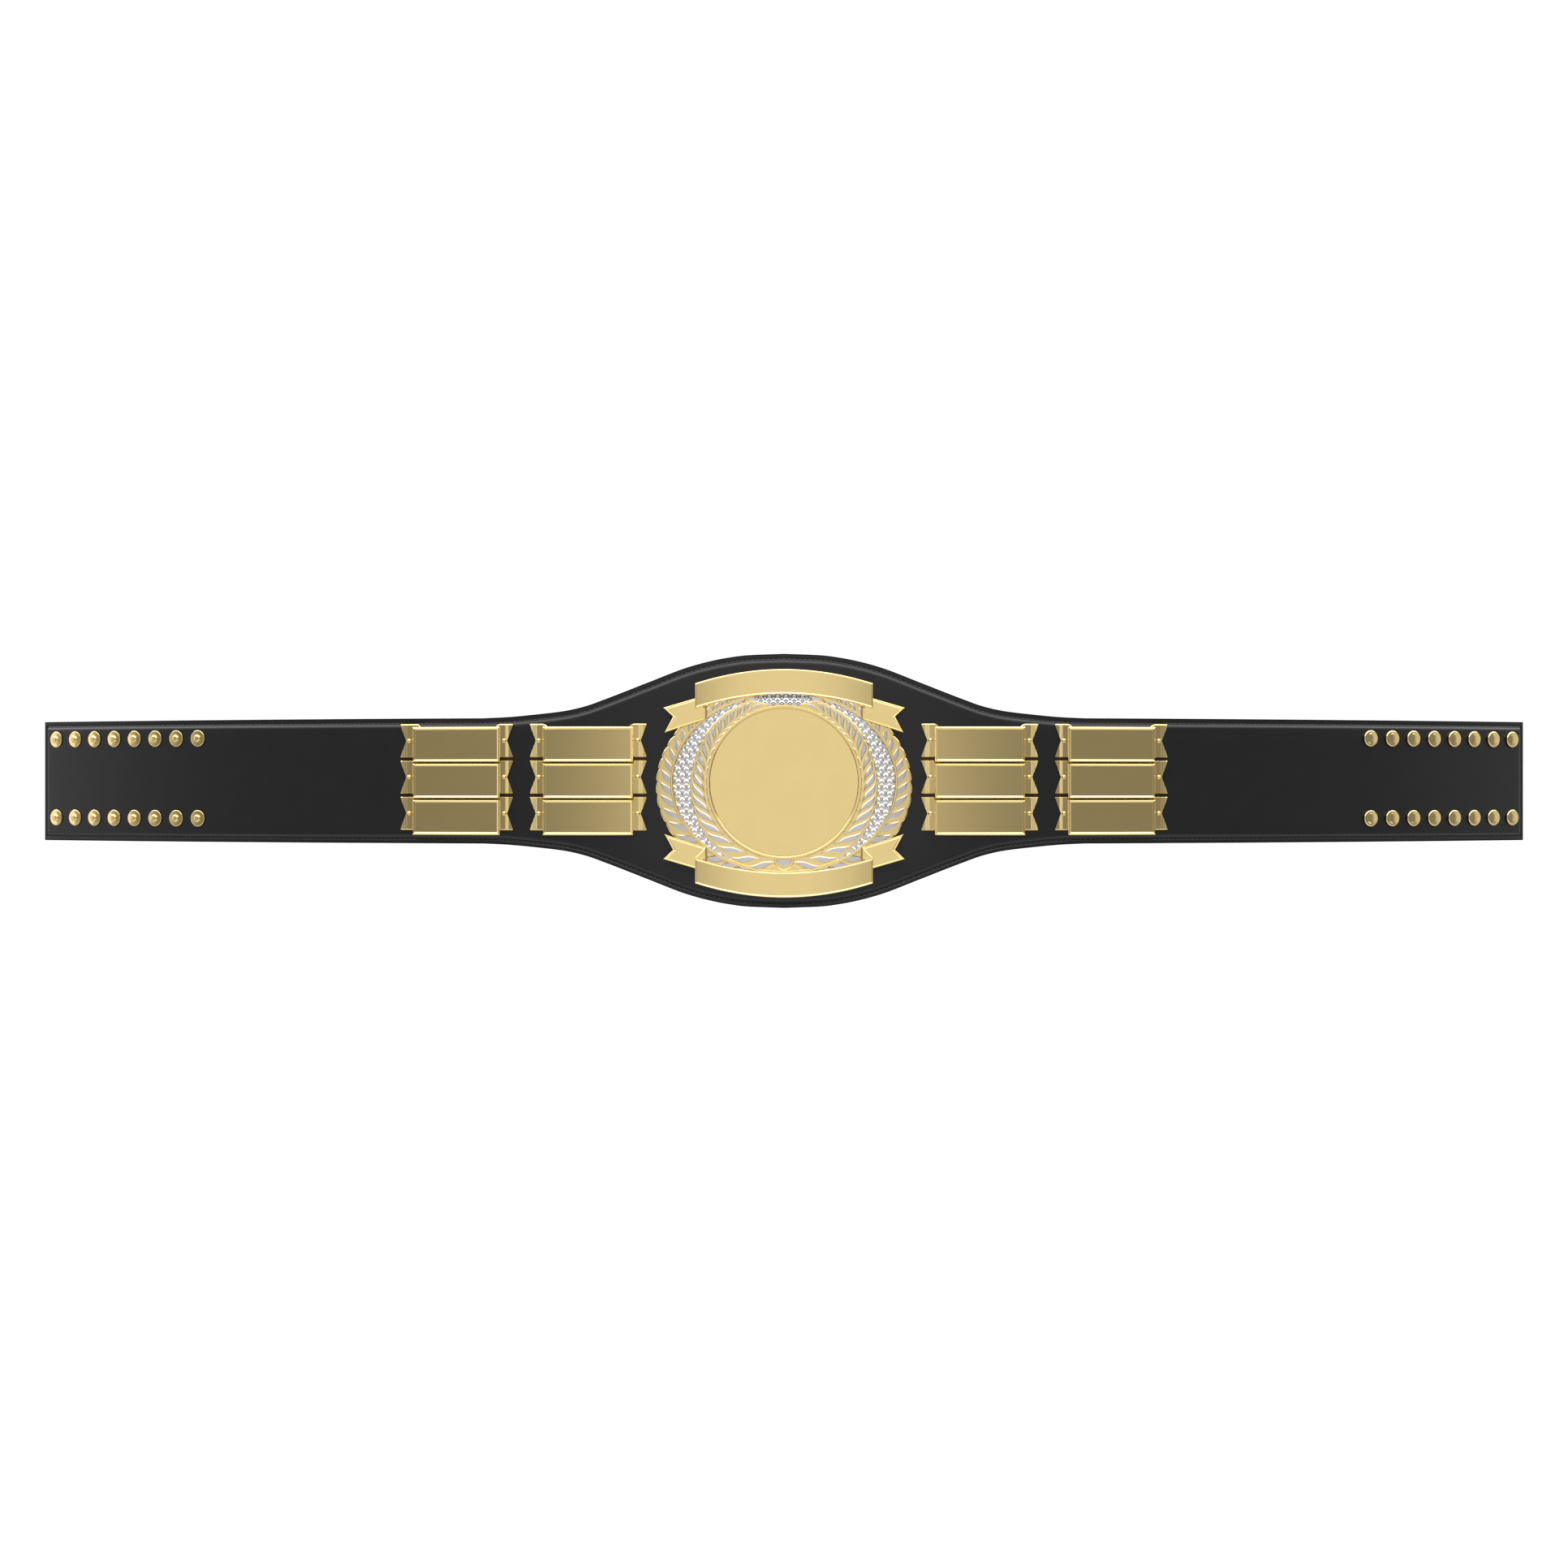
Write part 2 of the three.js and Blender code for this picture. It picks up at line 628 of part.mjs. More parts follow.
// A laurel branch: leaves that lean from a stem on its inner edge to tips on its outer edge.
// innerReach and outerReach give the branch's edges by the angle from straight down.
function laurel(side, leaves, stem, lean, innerReach, outerReach, low, valley) {
  const rings = [];
  const start = THREE.MathUtils.degToRad(stem.start);
  const end = THREE.MathUtils.degToRad(stem.end);
  for (let i = 0; i <= 2 * leaves; i += 1) {
    const share = i / (2 * leaves);
    const foot = THREE.MathUtils.lerp(start, end, share);
    const tip = foot + THREE.MathUtils.degToRad(lean);
    const ridge = i % 2;
    const top = valley + ridge * LEAF_RIDGE;
    const reach = outerReach(tip, share) - (1 - ridge) * LEAF_NOTCH;
    rings.push([
      around(side, foot, innerReach(foot), low), around(side, foot, innerReach(foot), valley),
      around(side, tip, reach, top), around(side, tip, reach, low),
    ]);
  }
  return bend(loft(rings));
}

// Distance from the plate's centre to the rail's inner edge, whose straight steps cut inside the ellipse.
function railInnerReach(angle) {
  const steps = Math.cos(Math.PI / RING_STEPS);
  return steps * ellipseReach(angle, RAIL_HALF_LENGTH - RAIL_WIDTH, RAIL_HALF_HEIGHT - RAIL_WIDTH);
}

// Outer edge of the inner laurel by the angle from straight down and the share of the branch's length.
function innerTipReach(angle, share) {
  const drop = INNER_LAUREL_DROP;
  const across = drop * Math.sin(angle);
  const circle = drop * Math.cos(angle) + Math.sqrt(INNER_LAUREL_RADIUS ** 2 - across ** 2);
  const full = Math.min(circle, railInnerReach(angle) - 2 * SEAT_GAP);
  const narrowing = THREE.MathUtils.smoothstep(share, 1 - LAUREL_TIP_SHARE, 1);
  return THREE.MathUtils.lerp(full, STEM_REACH + LAUREL_TIP_WIDTH, narrowing);
}

function innerLaurel(name, side) {
  const stem = { start: INNER_START_ANGLE, end: INNER_END_ANGLE };
  const valley = ON_PLATE + INNER_LAUREL_THICKNESS;
  const geometry = laurel(
    side, INNER_LEAVES, stem, INNER_LEAN_ANGLE, () => STEM_REACH, innerTipReach, ON_PLATE, valley,
  );
  return named(name, geometry, GOLD);
}

function outerLaurel(name, side) {
  const innerReach = (angle) => ellipseReach(angle, RAIL_HALF_LENGTH, RAIL_HALF_HEIGHT) + SEAT_GAP;
  const outerReach = (angle) => ellipseReach(angle, OUTER_LAUREL_HALF_LENGTH, OUTER_LAUREL_HALF_HEIGHT);
  const stem = { start: OUTER_START_ANGLE, end: OUTER_END_ANGLE };
  const valley = SEAT_GAP + OUTER_LAUREL_THICKNESS;
  const geometry = laurel(
    side, OUTER_LEAVES, stem, OUTER_LEAN_ANGLE, innerReach, outerReach, SEAT_GAP, valley,
  );
  return named(name, geometry, GOLD);
}

// The half-round bud between the two branches, on a base that fills the space down to the rail.
function laurelBud() {
  const low = ON_PLATE;
  const top = low + BUD_THICKNESS;
  const middle = -STEM_REACH - PLATE_DROP;
  const half = (radius) => spread(Math.PI, 2 * Math.PI, BUD_STEPS).map(
    (turn) => [radius * Math.cos(turn), middle + radius * Math.sin(turn)],
  );
  const start = THREE.MathUtils.degToRad(INNER_START_ANGLE);
  const lean = THREE.MathUtils.degToRad(INNER_LEAN_ANGLE);
  const foot = around(1, start, STEM_REACH, 0);
  const tip = around(1, start + lean, innerTipReach(start + lean, 0) - LEAF_NOTCH, 0);
  const wing = [foot.clone().lerp(tip, BUD_WING_REACH), foot];
  const upper = wing.map(({ x, z }) => [x, z - WING_GAP]);
  const lower = upper.map(([x]) => {
    const height = ellipseHeight(x, RAIL_HALF_LENGTH - RAIL_WIDTH, RAIL_HALF_HEIGHT - RAIL_WIDTH);
    return [x, SEAT_GAP - height * Math.cos(Math.PI / RING_STEPS) - PLATE_DROP];
  }).reverse();
  const right = [...lower, ...upper];
  const left = right.map(([x, z]) => [-x, z]).reverse();
  const boss = prism(half(BUD_RADIUS - BUD_RING_WIDTH), low, top + BUD_BOSS);
  const base = prism([...right, ...left], low, top);
  return named('laurel_bud', bend(joined([base, prism(half(BUD_RADIUS), low, top), boss])), GOLD);
}

// Stones

// Corners of the cell round one stone of the staggered field, counter-clockwise.
function stoneCell() {
  const half = STONE_PITCH / 2;
  const shoulder = (STONE_ROW_PITCH ** 2 - half ** 2) / (2 * STONE_ROW_PITCH);
  const point = (STONE_ROW_PITCH ** 2 + half ** 2) / (2 * STONE_ROW_PITCH);
  const right = [[half, -shoulder], [half, shoulder]];
  const left = [[-half, shoulder], [-half, -shoulder]];
  return [[0, -point], ...right, [0, point], ...left];
}

// Inner and outer reach of the bare field between the inner laurel and the rail, by angle.
function fieldReach(angle) {
  const start = THREE.MathUtils.degToRad(INNER_START_ANGLE + INNER_LEAN_ANGLE);
  const length = THREE.MathUtils.degToRad(INNER_END_ANGLE - INNER_START_ANGLE);
  const share = Math.max(0, (angle - start) / length);
  const inner = share > 1 ? STEM_REACH - SEAT_GAP : innerTipReach(angle, share);
  return { inner: inner + SEAT_GAP, outer: railInnerReach(angle) - SEAT_GAP };
}

// Moves a corner that lies under the rail or the laurel to the edge of the bare field.
function intoField([x, z]) {
  const angle = Math.atan2(Math.abs(x), -z);
  const reach = Math.hypot(x, z);
  const { inner, outer } = fieldReach(angle);
  const scale = THREE.MathUtils.clamp(reach, inner, outer) / reach;
  return [x * scale, z * scale];
}

// Centres of the stones in the bare field, in plate coordinates.
function stoneCentres(keep) {
  const centres = [];
  const rows = Math.ceil(RAIL_HALF_HEIGHT / STONE_ROW_PITCH);
  const columns = Math.ceil(RAIL_HALF_LENGTH / STONE_PITCH);
  for (let row = -rows; row <= rows; row += 1) {
    for (let column = -columns; column <= columns; column += 1) {
      const x = (column + (Math.abs(row) % 2) / 2) * STONE_PITCH;
      const z = row * STONE_ROW_PITCH;
      const reach = Math.hypot(x, z);
      const { inner, outer } = fieldReach(Math.atan2(Math.abs(x), -z));
      const bare = reach > inner && reach < outer && outer - inner > STONE_MIN_ROOM;
      if (bare && keep(x, z)) centres.push([x, z]);
    }
  }
  return centres;
}

// A bed of set stones: each has a hexagonal table and twelve facets down to the cell's corners.
function stoneField(name, keep) {
  const girdle = ON_PLATE + STONE_BED;
  const table = girdle + STONE_CROWN;
  const cell = stoneCell();
  const triangles = [];
  const edges = new Map();
  const key = ([x, z]) => `${x.toFixed(3)},${z.toFixed(3)}`;
  for (const [x, z] of stoneCentres(keep)) {
    const corners = cell.map(([dx, dz]) => intoField([x + dx, z + dz]));
    const tables = corners.map(([ax, az], i) => {
      const [bx, bz] = corners[(i + 1) % corners.length];
      return [
        THREE.MathUtils.lerp(x, (ax + bx) / 2, STONE_TABLE_SHARE),
        THREE.MathUtils.lerp(z, (az + bz) / 2, STONE_TABLE_SHARE),
      ];
    });
    corners.forEach((corner, i) => {
      const next = corners[(i + 1) % corners.length];
      const nextTable = tables[(i + 1) % tables.length];
      triangles.push([[corner, girdle], [next, girdle], [tables[i], table]]);
      triangles.push([[tables[i], table], [next, girdle], [nextTable, table]]);
      if (i > 1) triangles.push([[tables[0], table], [tables[i - 1], table], [tables[i], table]]);
      const shared = edges.delete(`${key(next)};${key(corner)}`);
      if (!shared) edges.set(`${key(corner)};${key(next)}`, [corner, next]);
    });
  }
  for (const [from, to] of edges.values()) {
    triangles.push([[from, ON_PLATE], [to, ON_PLATE], [to, girdle]]);
    triangles.push([[from, ON_PLATE], [to, girdle], [from, girdle]]);
  }
  for (const face of bottomFaces(edges, key)) {
    triangles.push(face.reverse().map((corner) => [corner, ON_PLATE]));
  }
  const points = triangles.flat().map(([[x, z], h]) => at(x, z - PLATE_DROP, h));
  const flat = outward(mergeVertices(new THREE.BufferGeometry().setFromPoints(points), WELD));
  return named(name, bend(flat), SILVER);
}

// Triangles under a field, from the edges that only one of its cells has.
function bottomFaces(edges, key) {
  const following = new Map([...edges.values()].map(([from, to]) => [key(from), to]));
  const faces = [];
  while (following.size > 0) {
    const loop = [];
    let corner = following.values().next().value;
    while (following.has(key(corner))) {
      const next = following.get(key(corner));
      following.delete(key(corner));
      loop.push(next);
      corner = next;
    }
    const contour = loop.map(([x, z]) => new THREE.Vector2(x, z));
    for (const face of THREE.ShapeUtils.triangulateShape(contour, [])) {
      faces.push(face.map((i) => loop[i]));
    }
  }
  return faces;
}

function stoneFields() {
  const turn = (x, z) => THREE.MathUtils.radToDeg(Math.atan2(Math.abs(x), -z));
  return [
    stoneField('stone_field_left', (x, z) => x < 0 && turn(x, z) < STONE_SIDE_END_ANGLE),
    stoneField('stone_field_right', (x, z) => x > 0 && turn(x, z) < STONE_SIDE_END_ANGLE),
    stoneField('stone_field_top', (x, z) => turn(x, z) > STONE_WINDOW_START_ANGLE),
  ];
}

// Banners

// up is 1 for the top banner and -1 for the bottom one, its mirror image.
function banner(name, up) {
  const lift = RAIL_TOP + SEAT_GAP;
  const middle = -PLATE_DROP - BANNER_DROP;
  const rings = spread(-BANNER_HALF_LENGTH, BANNER_HALF_LENGTH, BANNER_STEPS).map((s) => {
    const share = Math.abs(s) / BANNER_HALF_LENGTH;
    const low = lift + BANNER_LIFT - BANNER_END_FALL * share ** 3;
    const centre = BANNER_MIDDLE - BANNER_SAG * share ** 2;
    const edges = [centre - BANNER_HEIGHT / 2, centre + BANNER_HEIGHT / 2].map((z) => middle + up * z);
    return [
      at(s, edges[0], low), at(s, edges[1], low),
      at(s, edges[1], low + BANNER_THICKNESS), at(s, edges[0], low + BANNER_THICKNESS),
    ];
  });
  const tails = [-1, 1].map((side) => {
    const outline = BANNER_TAIL.map(
      (point) => [side * point.out * BANNER_HALF_LENGTH, middle + up * point.up * BANNER_MIDDLE],
    );
    return prism(side * up > 0 ? outline : outline.reverse(), lift, lift + BANNER_TAIL_THICKNESS);
  });
  return named(name, bend(joined([loft(rings), ...tails])), GOLD);
}

const belt = new THREE.Group();
belt.add(strap());
belt.add(...snaps('snap_post', -1, snapPostProfile()));
belt.add(...snaps('snap_cap', 1, snapCapProfile()));
belt.add(...sidePlates());
belt.add(backingPlate(), ovalRail(), centreDisc(), discRim());
belt.add(outerLaurel('outer_laurel_left', -1), outerLaurel('outer_laurel_right', 1));
belt.add(innerLaurel('inner_laurel_left', -1), innerLaurel('inner_laurel_right', 1), laurelBud());
belt.add(...stoneFields());
belt.add(banner('top_banner', 1), banner('bottom_banner', -1));

export default belt;
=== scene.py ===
import json
import math

import bmesh
import bpy
from mathutils import Matrix, Vector

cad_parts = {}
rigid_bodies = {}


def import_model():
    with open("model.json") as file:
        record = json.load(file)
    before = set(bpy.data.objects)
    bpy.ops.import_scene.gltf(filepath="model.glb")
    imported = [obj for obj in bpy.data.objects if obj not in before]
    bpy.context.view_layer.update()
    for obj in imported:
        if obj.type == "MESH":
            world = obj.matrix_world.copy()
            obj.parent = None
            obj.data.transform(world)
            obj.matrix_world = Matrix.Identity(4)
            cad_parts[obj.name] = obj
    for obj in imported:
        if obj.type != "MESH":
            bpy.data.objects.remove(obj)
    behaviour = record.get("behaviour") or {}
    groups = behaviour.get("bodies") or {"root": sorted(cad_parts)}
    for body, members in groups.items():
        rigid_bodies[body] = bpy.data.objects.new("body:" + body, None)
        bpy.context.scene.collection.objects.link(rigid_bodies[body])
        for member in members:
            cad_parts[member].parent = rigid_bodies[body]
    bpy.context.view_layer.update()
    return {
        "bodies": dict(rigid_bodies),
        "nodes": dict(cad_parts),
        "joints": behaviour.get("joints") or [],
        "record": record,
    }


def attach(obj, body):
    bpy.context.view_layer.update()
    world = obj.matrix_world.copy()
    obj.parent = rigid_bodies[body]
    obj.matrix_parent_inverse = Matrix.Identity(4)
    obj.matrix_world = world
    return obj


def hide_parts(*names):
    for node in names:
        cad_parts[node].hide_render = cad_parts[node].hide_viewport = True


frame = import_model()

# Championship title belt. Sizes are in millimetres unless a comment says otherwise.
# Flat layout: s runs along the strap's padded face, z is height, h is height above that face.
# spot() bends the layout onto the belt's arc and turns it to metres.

MM = 0.001
PAD = 7
FACE_RADIUS = 1175
BACK_RADIUS = FACE_RADIUS - PAD
PLATE_DROP = 1.2

CAMERA_LENS = 73.187
CAMERA_SENSOR = 36
CAMERA_PLACE = (0, -2.5608, -0.0025)


# Layout

def spot(s, z, h):
    turn = s / FACE_RADIUS
    radius = FACE_RADIUS + h
    return Vector((radius * math.sin(turn), BACK_RADIUS - radius * math.cos(turn), z)) * MM


def around(side, angle, reach, h):
    """A point of the centre plate by its angle in degrees from straight down and its reach."""
    turn = math.radians(angle)
    return spot(side * reach * math.sin(turn), -reach * math.cos(turn) - PLATE_DROP, h)


def lerp(a, b, share):
    return a + (b - a) * share


def smoothstep(value, low, high):
    share = min(max((value - low) / (high - low), 0), 1)
    return share * share * (3 - 2 * share)


def steps(low, high, count):
    return [lerp(low, high, i / count) for i in range(count + 1)]


def curve_through(rows, x):
    """Smooth value at x of a table of (x, value) rows, without overshoot between rows."""
    if x <= rows[0][0]:
        return rows[0][1]
    if x >= rows[-1][0]:
        return rows[-1][1]
    i = next(k for k in range(1, len(rows)) if x <= rows[k][0])
    slopes = [(b[1] - a[1]) / (b[0] - a[0]) for a, b in zip(rows, rows[1:])]

    def tangent(k):
        if k == 0 or k == len(rows) - 1:
            return slopes[0] if k == 0 else slopes[-1]
        before, after = slopes[k - 1], slopes[k]
        return 0 if before * after <= 0 else 2 * before * after / (before + after)

    (x0, y0), (x1, y1) = rows[i - 1], rows[i]
    width = x1 - x0
    t = (x - x0) / width
    ends = y0 * (1 + 2 * t) * (1 - t) ** 2 + y1 * t * t * (3 - 2 * t)
    return ends + width * (tangent(i - 1) * t * (1 - t) ** 2 - tangent(i) * t * t * (1 - t))


# Mesh building

class Skin:
    """Vertices and faces of one piece. Each face keeps the number of its material."""

    def __init__(self):
        self.points = []
        self.faces = []
        self.looks = []
        self.flat = []

    def add(self, points):
        first = len(self.points)
        self.points.extend(points)
        return list(range(first, len(self.points)))

    def face(self, corners, look=0, flat=False):
        self.faces.append(tuple(corners))
        self.looks.append(look)
        self.flat.append(flat)

    def grid(self, rows, around_row=False, around_column=False, looks=None, flat=False):
        """Quads between rows of points. looks gives the material for each column."""
        ids = [self.add(row) for row in rows]
        count = len(ids[0])
        rounds = len(ids) if around_column else len(ids) - 1
        for i in range(rounds):
            here, there = ids[i], ids[(i + 1) % len(ids)]
            for j in range(count if around_row else count - 1):
                k = (j + 1) % count
                look = looks[j] if looks else 0
                self.face((here[j], here[k], there[k], there[j]), look, flat)
        return ids

    def close(self, ids, look=0, flat=False):
        """Closes both ends of a grid."""
        self.face(ids[0], look, flat)
        self.face(reversed(ids[-1]), look, flat)

    def copy(self, other, matrix):
        first = len(self.points)
        self.points.extend(matrix @ point for point in other.points)
        self.faces.extend(tuple(first + i for i in face) for face in other.faces)
        self.looks.extend(other.looks)
        self.flat.extend(other.flat)

    def mesh(self, name, materials):
        mesh = bpy.data.meshes.new(name)
        mesh.from_pydata(self.points, [], self.faces)
        for material in materials:
            mesh.materials.append(material)
        mesh.polygons.foreach_set("material_index", self.looks)
        mesh.polygons.foreach_set("use_smooth", [not flat for flat in self.flat])
        mesh.update()
        return mesh


def outward(mesh):
    """Turns every face of a closed mesh outward."""
    work = bmesh.new()
    work.from_mesh(mesh)
    bmesh.ops.recalc_face_normals(work, faces=work.faces)
    work.to_mesh(mesh)
    work.free()


def piece(name, skin, materials, replaces=(), sharp=30):
    """Makes an object of the belt from a skin. Edges sharper than the angle stay sharp."""
    mesh = skin.mesh(name, materials)
    outward(mesh)
    mesh.set_sharp_from_angle(angle=math.radians(sharp))
    thing = bpy.data.objects.new(name, mesh)
    bpy.context.scene.collection.objects.link(thing)
    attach(thing, "root")
    if replaces:
        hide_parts(*replaces)
    return thing


def instance(name, mesh, matrix, node):
    thing = bpy.data.objects.new(name, mesh)
    thing.matrix_world = matrix
    bpy.context.scene.collection.objects.link(thing)
    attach(thing, "root")
    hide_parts(node)
    return thing


def arc_matrix(s, z):
    """Carries a piece made at the middle of the arc to its place along the strap."""
    centre = Vector((0, BACK_RADIUS, 0)) * MM
    turn = Matrix.Rotation(s / FACE_RADIUS, 4, "Z")
    return Matrix.Translation(centre + Vector((0, 0, z)) * MM) @ turn @ Matrix.Translation(-centre)


def turned(profile, sides):
    """A turned piece at the middle of the arc. The profile runs from axis to axis."""
    skin = Skin()
    first, last = profile[0], profile[-1]
    rows = []
    for radius, h in profile[1:-1]:
        ring = [2 * math.pi * k / sides for k in range(sides)]
        rows.append([spot(radius * math.cos(a), radius * math.sin(a), h) for a in ring])
    ids = skin.grid(rows, around_row=True)
    for (_, h), row in ((first, ids[0]), (last, ids[-1])):
        tip = skin.add([spot(0, 0, h)])[0]
        for j in range(sides):
            skin.face((tip, row[j], row[(j + 1) % sides]))
    return skin


# Materials

def node(tree, kind, **values):
    made = tree.nodes.new(kind)
    for name, value in values.items():
        setattr(made, name, value)
    return made


def surface(name, color, roughness, metallic):
    """A material with its shader's own sockets set, and the mapping that its textures share."""
    made = bpy.data.materials.new(name)
    made.use_nodes = True
    made.diffuse_color = (*color, 1)
    shader = made.node_tree.nodes["Principled BSDF"]
    shader.inputs["Base Color"].default_value = (*color, 1)
    shader.inputs["Roughness"].default_value = roughness
    shader.inputs["Metallic"].default_value = metallic
    place = node(made.node_tree, "ShaderNodeTexCoord")
    return made, made.node_tree, shader, place.outputs["Object"]


def noise(tree, place, scale, detail=2, rough=0.5):
    made = node(tree, "ShaderNodeTexNoise")
    made.inputs["Scale"].default_value = scale
    made.inputs["Detail"].default_value = detail
    made.inputs["Roughness"].default_value = rough
    tree.links.new(place, made.inputs["Vector"])
    return made.outputs["Fac"]


def spread_to(tree, value, low, high):
    made = node(tree, "ShaderNodeMapRange")
    made.inputs["To Min"].default_value = low
    made.inputs["To Max"].default_value = high
    tree.links.new(value, made.inputs["Value"])
    return made.outputs["Result"]


def tint(tree, value, dark, light):
    """Colour between two tints by a value from 0.3 to 0.7."""
    ramp = node(tree, "ShaderNodeValToRGB")
    ramp.color_ramp.elements[0].position = 0.3
    ramp.color_ramp.elements[1].position = 0.7
    ramp.color_ramp.elements[0].color = (*dark, 1)
    ramp.color_ramp.elements[1].color = (*light, 1)
    tree.links.new(value, ramp.inputs["Fac"])
    return ramp.outputs["Color"]


def bump(tree, shader, height, distance, strength=1.0, under=None):
    made = node(tree, "ShaderNodeBump")
    made.inputs["Strength"].default_value = strength
    made.inputs["Distance"].default_value = distance * MM
    tree.links.new(height, made.inputs["Height"])
    if under:
        tree.links.new(under, made.inputs["Normal"])
    tree.links.new(made.outputs["Normal"], shader.inputs["Normal"])
    return made.outputs["Normal"]


def scaled(color, share):
    return tuple(min(1, c * share) for c in color)


GOLD = (0.785, 0.61, 0.273)
SILVER = (0.58, 0.56, 0.535)
STONE = (0.62, 0.61, 0.60)
BRASS = (0.84, 0.65, 0.30)
LEATHER = (0.0045, 0.0045, 0.0046)
THREAD = (0.004, 0.0035, 0.003)
WORN_THREAD = (0.012, 0.0095, 0.0065)


def metal(name, color, roughness, grain, rough_range, tints=None, relief=None, cloud=None):
    """A metal whose roughness and relief follow a fine grain. Its tint follows the grain or a cloud."""
    made, tree, shader, place = surface(name, color, roughness, 1)
    fine = noise(tree, place, *grain)
    if tints:
        pattern = noise(tree, place, *cloud) if cloud else fine
        dark, light = (scaled(color, share) for share in tints)
        tree.links.new(tint(tree, pattern, dark, light), shader.inputs["Base Color"])
    tree.links.new(spread_to(tree, fine, *rough_range), shader.inputs["Roughness"])
    if relief:
        bump(tree, shader, fine, *relief)
    return made


def black_leather():
    """Fine-grained black leather: pebbles over a soft uneven nap."""
    made, tree, shader, place = surface("black leather", LEATHER, 0.34, 0)
    shader.inputs["Specular IOR Level"].default_value = 0.42
    pebbles = node(tree, "ShaderNodeTexVoronoi")
    pebbles.inputs["Scale"].default_value = 1400
    tree.links.new(place, pebbles.inputs["Vector"])
    fine = noise(tree, place, 2400, 4, 0.65)
    broad = noise(tree, place, 60, 3)
    shade = tint(tree, fine, scaled(LEATHER, 0.8), scaled(LEATHER, 1.25))
    tree.links.new(shade, shader.inputs["Base Color"])
    tree.links.new(spread_to(tree, broad, 0.31, 0.38), shader.inputs["Roughness"])
    grain = bump(tree, shader, pebbles.outputs["Distance"], 0.02, 0.35)
    bump(tree, shader, fine, 0.02, 0.35, under=grain)
    return made


def edge_paint():
    """Matt black paint on the strap's cut edge."""
    made, tree, shader, place = surface("edge paint", scaled(LEATHER, 0.6), 0.6, 0)
    shader.inputs["Specular IOR Level"].default_value = 0.12
    rough = noise(tree, place, 500, 3)
    bump(tree, shader, rough, 0.05, 0.5)
    return made


def dark_thread():
    """Waxed black thread with a twist."""
    made, tree, shader, place = surface("dark thread", THREAD, 0.6, 0)
    shader.inputs["Specular IOR Level"].default_value = 0.2
    twist = noise(tree, place, 3000, 2)
    shade = tint(tree, twist, scaled(THREAD, 0.7), WORN_THREAD)
    tree.links.new(shade, shader.inputs["Base Color"])
    bump(tree, shader, twist, 0.05, 0.6)
    return made


# Blasted gold for flat faces, polished gold for edges and beads, rhodium-like silver for leaves,
# a brighter silver for the stones' facets, and plated brass for the snaps.
BLASTED = metal(
    "blasted gold", GOLD, 0.2, (2600, 3, 0.6), (0.17, 0.24), (0.985, 1.015), (0.005, 0.6), cloud=(45, 2),
)
POLISHED = metal("polished gold", scaled(GOLD, 1.08), 0.16, (700, 3), (0.1, 0.22), relief=(0.004, 0.3))
SATIN = metal("satin silver", SILVER, 0.2, (2200, 3), (0.16, 0.24), (0.97, 1.03), (0.005, 0.5))
FACETS = metal("stone silver", STONE, 0.18, (900, 2), (0.1, 0.18), (0.92, 1.05))
SNAP = metal("snap brass", BRASS, 0.09, (900, 3), (0.06, 0.12), (0.95, 1.04))
HIDE = black_leather()
PAINT = edge_paint()
WAXED = dark_thread()
PLATE_LOOKS = [BLASTED, POLISHED]
FLAT, EDGE = 0, 1


# Strap

STRAP_LENGTH = 1349
STRAP_WIDTH = 101.6
MIDDLE_WIDTH = 204
WIDE_HALF_LENGTH = 245
BORDER_WIDTH = 4.2
BORDER_TOP = -3
STITCH_INSET = 3.5
GROOVE_HALF_WIDTH = 0.6
GROOVE_DEPTH = 0.28
BACK_GROOVE_DEPTH = GROOVE_DEPTH * 0.7
EDGE_ROUND = 0.35
EDGE_PAINT = 0.8
CORNER_BLEND = 1.6

# Shoulder of the padding: distance in from the border, and height of the face.
SHOULDER = [(0, BORDER_TOP), (0.3, -2.55), (1.3, -1.05), (2.1, -0.45), (3.1, -0.13), (4.4, 0)]

# Rise of the outline: share of WIDE_HALF_LENGTH from the centre, and share of the full widening.
WIDENING = [
    (0, 1), (0.12, 0.978), (0.19, 0.935), (0.25, 0.877), (0.32, 0.785), (0.45, 0.55),
    (0.59, 0.295), (0.66, 0.18), (0.73, 0.108), (0.83, 0.054), (0.92, 0.017), (1, 0),
]


def half_width(s):
    rise = curve_through(WIDENING, abs(s) / WIDE_HALF_LENGTH)
    return STRAP_WIDTH / 2 + rise * (MIDDLE_WIDTH - STRAP_WIDTH) / 2


def slope_cosine(s):
    step = 1.0
    return 1 / math.hypot(1, (half_width(s + step) - half_width(s - step)) / (2 * step))


def groove(inset, depth):
    away = abs(inset - STITCH_INSET) / GROOVE_HALF_WIDTH
    return depth * max(0, 1 - away * away)


def rounding(inset):
    """How far the rounded edge has fallen at an inset from it."""
    return EDGE_ROUND * (1 - math.sqrt(max(0, 1 - (1 - min(inset / EDGE_ROUND, 1)) ** 2)))


def front_height(inset):
    """Height of the front face at an inset from the strap's edge."""
    border = BORDER_TOP - rounding(inset) - groove(inset, GROOVE_DEPTH)
    return border if inset <= BORDER_WIDTH else curve_through(SHOULDER, inset - BORDER_WIDTH)


def back_height(inset):
    return -PAD + rounding(inset) + groove(inset, BACK_GROOVE_DEPTH)


def least(a, b):
    """The smaller of two insets, blended where they meet so that corners are soft."""
    if abs(a - b) >= CORNER_BLEND:
        return min(a, b)
    mix = 0.5 + 0.5 * (b - a) / CORNER_BLEND
    return max(0, lerp(b, a, mix) - CORNER_BLEND * mix * (1 - mix) * 0.5)


